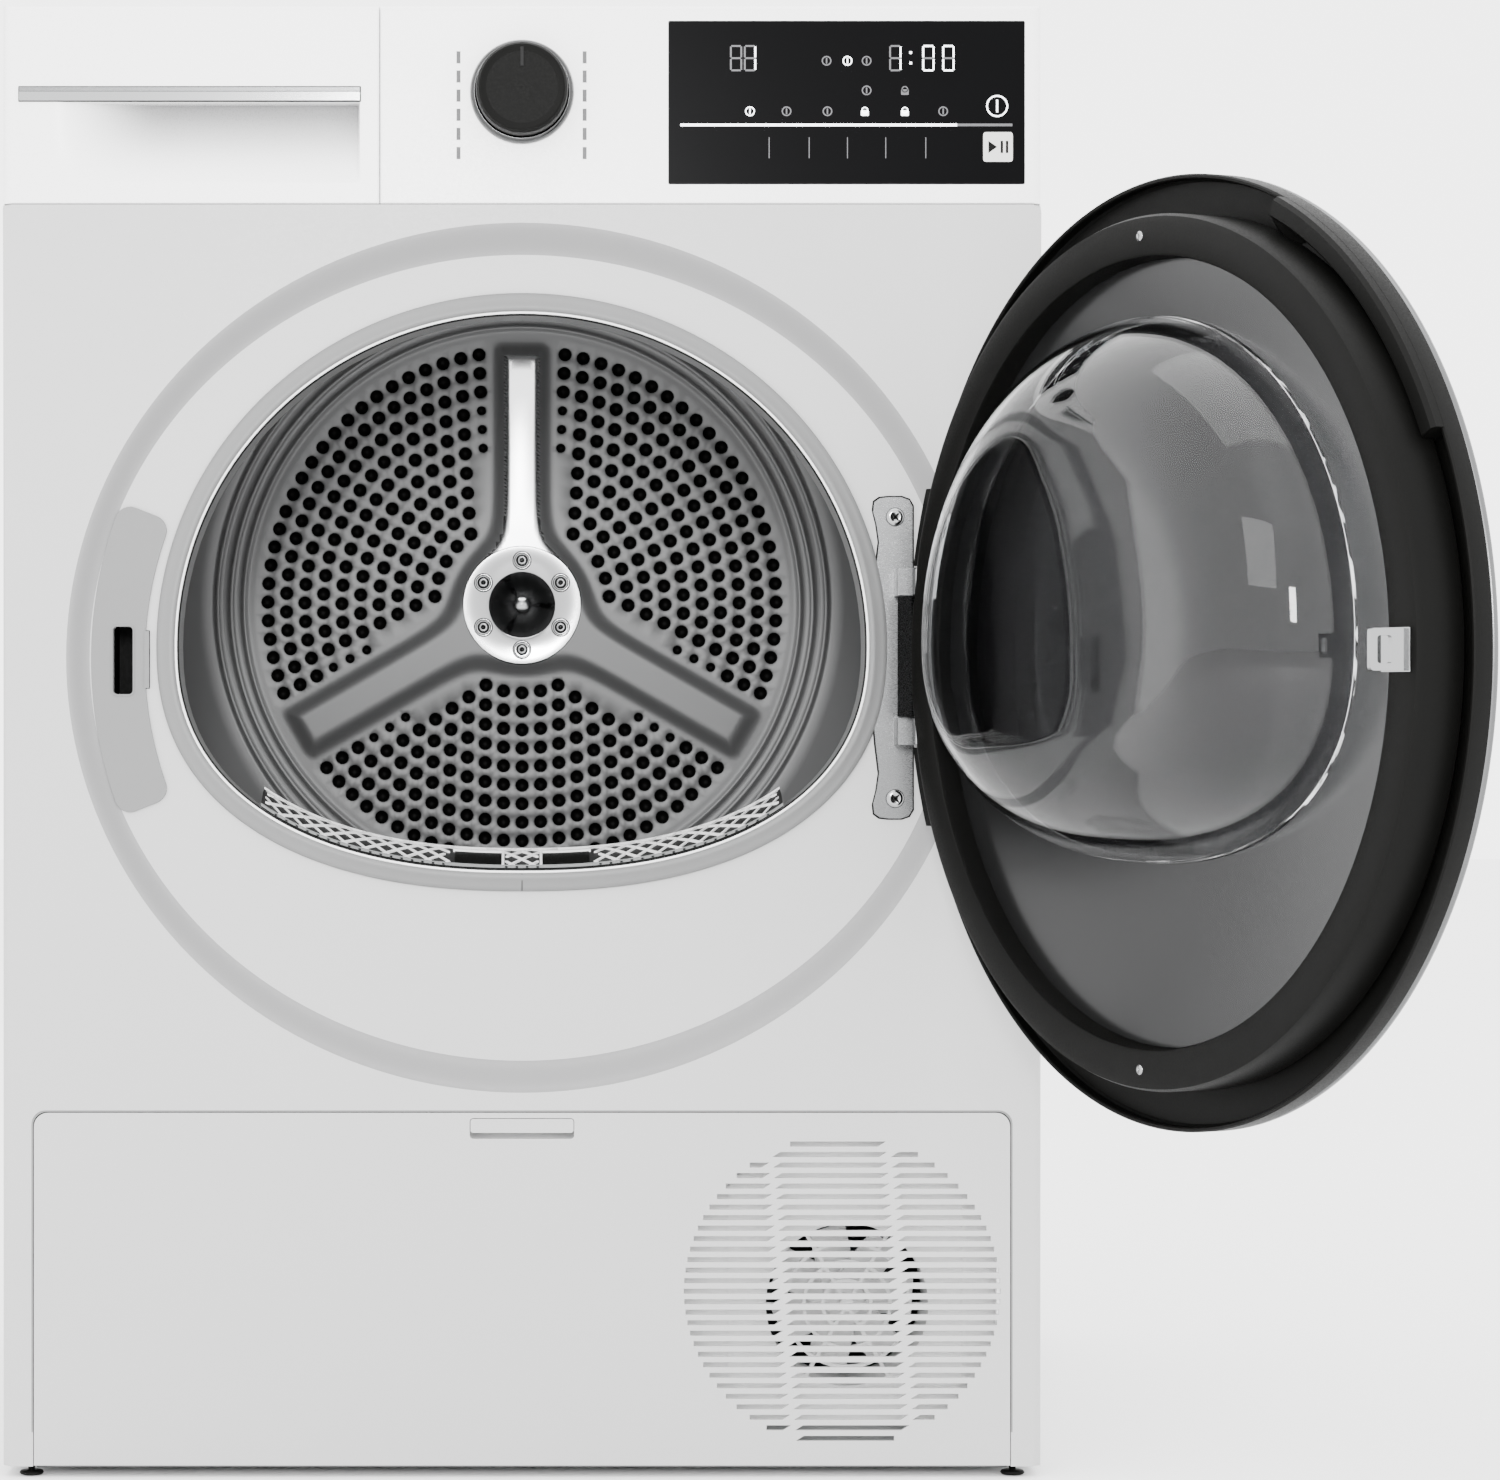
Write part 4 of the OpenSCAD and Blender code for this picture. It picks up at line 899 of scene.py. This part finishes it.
# ---------- door, modelled closed and then swung to its rest place ----------
INNER_X, DOOR_Z = -11 * MM, 471 * MM
FACE = FRONT - 40 * MM                   # outer face of the closed door
BACK = FRONT                             # its inner face
SWING = Matrix.Translation(HINGE) @ Matrix.Rotation(DOOR_ANGLE, 4, "Z") @ Matrix.Translation(-HINGE)
ROLL_R = 19.3 * MM                       # radius of the door's rounded hinge edge
def swung(piece, replaces=(), bevel=0.0, roll=True, clamp=None):
    """Rounds the hinge edge so that it can roll past the cabinet, swings the piece open and ties it to the door."""
    for vertex in piece.data.vertices:
        v = vertex.co
        if clamp and v.x > clamp:
            v.x = clamp
        reach = Vector((v.x - HINGE.x, v.y - HINGE.y))
        if roll and v.x > HINGE.x and reach.length > ROLL_R:
            reach *= ROLL_R / reach.length
            v.x, v.y = HINGE.x + reach.x, HINGE.y + reach.y
    piece.data.transform(SWING)
    return placed(piece, "door", replaces, bevel)


def disc_sector(name, profile, centre, a0, a1, material, steps=48):
    """A closed profile of (radius, y) points turned through part of a circle, with end caps."""
    rings = []
    for i in range(steps + 1):
        t = math.radians(a0 + (a1 - a0) * i / steps)
        rings.append([(centre[0] + r * math.cos(t), y, centre[1] + r * math.sin(t)) for r, y in profile])
    return loft(name, rings, material, caps=True, smooth=False)


outer_parts = [turned("outer_ring", mm_profile([
    (198, 3.6), (243.5, 3.6), (244.4, 4.4), (248.4, 4.4), (248.6, 5), (248.6, 14.2), (247.8, 15), (246.6, 15),
    (246, 14.2), (246, 9), (244.6, 7.6), (198, 7.6)], FACE), (0, DOOR_Z), "black_plastic", 192)]
lip_profile = mm_profile([(226.4, 7.6), (226.4, 13), (236.4, 10.4), (237.6, 19.6), (239, 21), (246.6, 21),
                          (248.5, 19), (248.5, 7.6)], FACE)
outer_parts.append(disc_sector("grip_lip", lip_profile, (0, DOOR_Z), 114, 155, "black_plastic"))
wedge = [(226.6, 8, 113.4), (238, 8, 113.4), (238, 20, 114.2), (226.8, 12, 117.6), (236, 12, 120)]
points = [(r * MM * math.cos(math.radians(a)), FACE + d * MM, DOOR_Z + r * MM * math.sin(math.radians(a)))
          for r, d, a in wedge]
facets = [(0, 1, 2), (0, 2, 3), (2, 4, 3), (1, 4, 2), (0, 3, 4, 1)]
outer_parts.append(tidy_mesh(make_mesh("grip_facet", points, facets, "black_plastic")))
outer_skin = joined("door_outer_frame_skin", outer_parts)
outer_skin.data.set_sharp_from_angle(angle=math.radians(30))
for vertex in outer_skin.data.vertices:
    v = vertex.co
    if v.x > 200 * MM and any(abs(v.z - z) < 17 * MM for z in ARM_ZS):
        v.y = min(v.y, HINGE.y - 9.6 * MM)
swung(outer_skin, ["door_outer_frame"])
trim = turned("door_trim_ring", mm_profile([
    (243.6, 0.3), (244.2, 0), (247.2, 0), (248.2, 0.8), (248.6, 2), (248.6, 4.2), (243.6, 4.2)], FACE),
    (0, DOOR_Z), "satin_metal", 192)
swung(trim)
for name, z0, z1 in (("low", 375, 419.5), ("middle", 438.5, 504.5), ("high", 523.5, 567)):
    sections = []
    for i in range(9):
        z = (z0 + (z1 - z0) * i / 8) * MM
        dz = z - DOOR_Z
        inner_edge = INNER_X + math.sqrt((226.6 * MM) ** 2 - dz * dz)
        outer_edge = math.sqrt((248.9 * MM) ** 2 - dz * dz)
        xs = [inner_edge + (outer_edge - inner_edge) * k / 12 for k in range(13)]
        sections.append([(x, FACE + 7 * MM, z) for x in xs] + [(x, HINGE.y - 1 * MM, z) for x in reversed(xs)])
    swung(loft(f"hinge_side_{name}", sections, "black_plastic", caps=True, smooth=False))

inner_skin = turned("door_inner_frame_skin", mm_profile([
    (204, 8), (204, 37.6), (204.8, 39.2), (206.6, 39.9), (221.6, 40), (224.6, 38.8), (226, 36), (226, 12), (222, 8)],
    FACE), (INNER_X, DOOR_Z), "black_plastic", 192)
for vertex in inner_skin.data.vertices:
    v = vertex.co
    limit = 207.6 * MM if any(abs(v.z - z) < 11 * MM for z in ARM_ZS) else 213.2 * MM
    v.x = min(v.x, limit)
inner_skin.data.set_sharp_from_angle(angle=math.radians(40))
swung(inner_skin, ["door_inner_frame"])
for name, side in (("top", 1), ("bottom", -1)):
    z = DOOR_Z + side * 215 * MM
    boss = block("boss", (INNER_X - 9 * MM, BACK - 1.5 * MM, z - 6.4 * MM),
                 (INNER_X + 13 * MM, BACK - 0.1 * MM, z + 6.4 * MM), "black_plastic")
    swung(boss, (), 0.8 * MM)
    profile = mm_profile([(0.3, -0.4), (0.3, 0.9), (1.6, 0.9), (2.6, 0.5), (3, -0.4)], BACK)
    screw = turned(f"door_screw_{name}", profile, (INNER_X - 1 * MM, z), "bright_steel", 32)
    swung(screw)

ring_y = FACE + 25 * MM


def bowl_ring(inset, y):
    return [(x, y, z) for x, z in d_shape(0.176 - inset, 0.646 - inset, 0.362 + inset, 128)]


flange_loop = [(x, z) for x, _, z in bowl_ring(2.6 * MM, 0)]
flange_skin = plate("door_flange_ring_skin", circle_points(INNER_X, DOOR_Z, 203.6 * MM, 160), ring_y, ring_y + 2 * MM,
                    "ring_metal", [flange_loop])
swung(flange_skin, ["door_flange_ring"])
REACH, EDGE_INSET = 59.6 * MM, 68 * MM
outer_rings, inner_rings = [], []
for i in range(19):
    a = math.pi / 2 * i / 18
    inset, depth = EDGE_INSET * (1 - math.cos(a)) ** 0.8, REACH * math.sin(a) ** 0.9
    outer_rings.append(bowl_ring(inset, ring_y + 2 * MM + depth))
    inner_rings.append(bowl_ring(inset + 3 * MM * math.cos(a) + 0.2 * MM,
                                 ring_y + 2 * MM + max(0, depth - 3 * MM * math.sin(a))))


def dome(depth):
    """The nearly flat face of the bowl, as rings that shrink towards its middle."""
    edge = bowl_ring(EDGE_INSET, ring_y + 2 * MM + depth)
    cx, cz = (sum(p[axis] for p in edge) / len(edge) for axis in (0, 2))
    return [[(cx + (x - cx) * s, y, cz + (z - cz) * s) for x, y, z in edge] for s in (0.7, 0.35, 0.1, 0.013, 0.01)]


bowl_rings = outer_rings + dome(REACH) + list(reversed(dome(REACH - 3 * MM))) + list(reversed(inner_rings))
bowl = loft("door_bowl_skin", bowl_rings, "clear_bowl", closed=True)
bowl.data.set_sharp_from_angle(angle=math.radians(40))
swung(bowl, ["door_bowl"])
glass = turned("door_glass_skin", mm_profile([
    (0.2, 0.2), (242.4, 0.2), (243, 0.8), (243, 2.9), (242.4, 3.5), (0.2, 3.5)], FACE),
    (0, DOOR_Z), "smoked_glass", 160)
glass.data.set_sharp_from_angle(angle=math.radians(20))
swung(glass, ["door_glass"], 0.0, False, 227.4 * MM)

hook = [block("base", (-233 * MM, BACK, 460 * MM), (-212 * MM, BACK + 1.2 * MM, 481 * MM), "bright_steel")]
window = plate("hook_plate", rounded_rect(0, 460.5 * MM, 22 * MM, 480.5 * MM, 2 * MM), 0, 2.6 * MM, "bright_steel",
               [rounded_rect(9.5 * MM, 464 * MM, 18 * MM, 477 * MM, 1.5 * MM)])
for vertex in window.data.vertices:
    x, y, z = vertex.co
    vertex.co = (-231 * MM + y, BACK + x, z)
hook.append(tidy_mesh(window))
swung(joined("door_hook_skin", hook), ["door_hook"], 0.5 * MM)


# ---------- display ----------
GLASS_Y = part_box("display_glass")[0].y


def dash(x0, z0, x1, z1, material, r=0.0):
    marks.append(mark("mark", x0 * MM, z0 * MM, x1 * MM, z1 * MM, GLASS_Y, material, r * MM))


def ring_mark(x, z, outer, inner, material, gap=0):
    """A ring, or a ring open at the top by gap degrees."""
    loop = []
    for radius, sense in ((outer, 1), (inner, -1)):
        for i in range(25):
            t = math.radians(90 + gap / 2 + (360 - gap - 0.01) * (i / 24 if sense > 0 else 1 - i / 24))
            loop.append(((x + radius * math.cos(t)) * MM, (z + radius * math.sin(t)) * MM))
    marks.append(plate("mark", loop, GLASS_Y - 0.1 * MM, GLASS_Y + 0.3 * MM, material))


def digit(x, z, segments):
    """A seven-segment figure 7 mm wide and 15 mm high with its lower left corner at (x, z)."""
    bars = {"a": (0.8, 14, 6.2, 15), "b": (6, 8, 7, 14.2), "c": (6, 0.8, 7, 7), "d": (0.8, 0, 6.2, 1),
            "e": (0, 0.8, 1, 7), "f": (0, 8, 1, 14.2), "g": (0.8, 7, 6.2, 8)}
    for key, (x0, z0, x1, z1) in bars.items():
        dash(x + x0, z + z0, x + x1, z + z1, "lit" if key in segments else "dim")


marks = []
digit(119.5, 808, "")
digit(127.5, 808, "bc")
digit(211, 808, "bc")
digit(230, 808, "abcdef")
digit(241.5, 808, "abcdef")
for z in (812, 818):
    dash(222.6, z, 224, z + 1.4, "lit")
for x, z, state in ((175, 814, "dim"), (187, 814, "lit"), (198, 814, "dim"), (198, 797, "dim"),
                    (131, 785, "lit"), (152, 785, "dim"), (175.5, 785, "dim"), (242, 785, "dim")):
    ring_mark(x, z, 2.8, 2.1, state)
    dash(x - 0.4, z - 1.6, x + 0.4, z + 1.6, state)
for x, z, state in ((220, 797, "dim"), (197, 785, "lit"), (220, 785, "lit")):
    dash(x - 2.2, z - 2.6, x + 2.2, z + 0.6, state, 0.5)
    ring_mark(x, z + 0.6, 1.9, 1.3, state)
for i in range(24):
    dash(91 + 7.95 * i, 776.4, 98.9 + 7.95 * i, 777.9, "lit" if i < 20 else "dim")
for x in (142, 165, 187, 209, 232):
    dash(x - 0.25, 758, x + 0.25, 770, "dim")
ring_mark(273, 788, 6.3, 5.4, "lit")
dash(272.5, 784.4, 273.5, 791.6, "lit")
placed(joined("display_marks", marks), "cabinet")
key = mark("key", 265 * MM, 756 * MM, 282 * MM, 773 * MM, GLASS_Y, "key_face", 1.5 * MM)
signs = [plate("sign", [(268 * MM, 761 * MM), (268 * MM, 768 * MM), (273 * MM, 764.5 * MM)][::-1], GLASS_Y - 0.2 * MM,
               GLASS_Y, "black_plastic"),
         block("sign", (275 * MM, GLASS_Y - 0.2 * MM, 761 * MM), (276.4 * MM, GLASS_Y, 768 * MM), "black_plastic"),
         block("sign", (278 * MM, GLASS_Y - 0.2 * MM, 761 * MM), (279.4 * MM, GLASS_Y, 768 * MM), "black_plastic")]
placed(joined("start_key", [key, *signs]), "cabinet")
placed(joined("programme_marks", ticks), "cabinet")
placed(joined("seam_marks", [seam]), "cabinet")


# ---------- kick plate ----------
GRILLE_X, GRILLE_Z, GRILLE_R, SLOT_PITCH, SLOT_H = 184 * MM, 107 * MM, 91 * MM, 6.04 * MM, 2.8 * MM
slots = [rounded_rect(-30 * MM, 194.6 * MM, 30 * MM, 206.4 * MM, 2 * MM)]
for i in range(-14, 15):
    z = i * SLOT_PITCH
    chord = math.sqrt(GRILLE_R ** 2 - (abs(z) + SLOT_H / 2) ** 2)
    lean = -0.5 * MM * i
    stops = [(-chord, -chord)]
    for x in (-37 * MM, 31 * MM):
        stops += [(x + lean - 3.5 * MM, x + lean + 1 * MM), (x + lean + 3.5 * MM, x + lean + 8 * MM)]
    stops.append((chord, chord))
    for (low0, top0), (low1, top1) in zip(stops[::2], stops[1::2]):
        low0, top0 = max(low0, -chord), max(top0, -chord)
        low1, top1 = min(low1, chord), min(top1, chord)
        if low1 - low0 < 1.5 * MM or top1 - top0 < 1.5 * MM:
            continue
        slots.append([(GRILLE_X + low0, GRILLE_Z + z - SLOT_H / 2), (GRILLE_X + low1, GRILLE_Z + z - SLOT_H / 2),
                      (GRILLE_X + top1, GRILLE_Z + z + SLOT_H / 2), (GRILLE_X + top0, GRILLE_Z + z + SLOT_H / 2)])
kick = plate("kick_plate_skin", kick_outline(GAP, BASE_Z + 0.5 * MM), FRONT, FRONT + 2.5 * MM, "white_paint", slots)
# A thin grey arch drawn on the cabinet around the kick plate: a painted shadow of the gap around the plate.
arches = [kick_outline(shrink, 26 * MM) for shrink in (-0.9 * MM, 0)]
arches = [loop[1:] + loop[:1] for loop in arches]
line = plate("kick_plate_gap_shadow", arches[0] + arches[1][::-1], FRONT - 0.05 * MM, FRONT + 0.3 * MM, "light_plastic")
placed(line, "cabinet")
webs = [block("web", (x * MM, FRONT + 2.4 * MM, 8 * MM), ((x + 2) * MM, FRONT + 10 * MM, 190 * MM), "white_plastic")
        for x in (-275, 273)]
placed(joined("kick_plate_skin", [kick, *webs]), "kick_plate", ["kick_plate"], 0.35 * MM)


# ---------- stage ----------
def card(name, centre, size, rotation, strength, colour=(1, 1, 1)):
    light = bpy.data.lights.new(name, "AREA")
    light.shape = "RECTANGLE"
    light.size, light.size_y = size
    light.energy = strength
    light.color = colour
    lamp = bpy.data.objects.new(name, light)
    bpy.context.collection.objects.link(lamp)
    lamp.location = centre
    lamp.rotation_euler = [math.radians(r) for r in rotation]
    return lamp


floor_mat, _, floor_shader = node_material("pale_floor")
floor_shader.inputs["Base Color"].default_value = (0.86, 0.86, 0.86, 1)
floor_shader.inputs["Roughness"].default_value = 0.8
MAT["floor"] = floor_mat
floor = make_mesh("floor", [(-9, -7, 0), (9, -7, 0), (9, 9, 0), (-9, 9, 0)], [(0, 1, 2, 3)], "floor")
world = bpy.data.worlds.new("studio")
bpy.context.scene.world = world
world.use_nodes = True
world.node_tree.nodes["Background"].inputs["Color"].default_value = (1, 1, 1, 1)
world.node_tree.nodes["Background"].inputs["Strength"].default_value = 4.5
card("top_light", (0, -0.6, 3.2), (2.6, 2.2), (0, 0, 0), 50)
card("front_light", (-1.3, -3.2, 1.9), (1.2, 1.2), (66, 0, -22), 25)
card("drum_highlight", (-0.06, -3.1, 0.95), (0.22, 0.5), (86, 0, 0), 55)
card("drum_lamp", (0, -0.19, 0.70), (0.2, 0.04), (60, 0, 0), 0.5)

camera_data = bpy.data.cameras.new("camera")
camera = bpy.data.objects.new("camera", camera_data)
bpy.context.collection.objects.link(camera)
VIEW_DISTANCE = 2.4
camera.location = (0, FRONT - VIEW_DISTANCE, 0.447)
camera.rotation_euler = (math.radians(90), 0, 0)
camera_data.sensor_width = 36
camera_data.lens = 100.24
camera_data.shift_x = 0.152
camera_data.shift_y = -0.027
bpy.context.scene.camera = camera
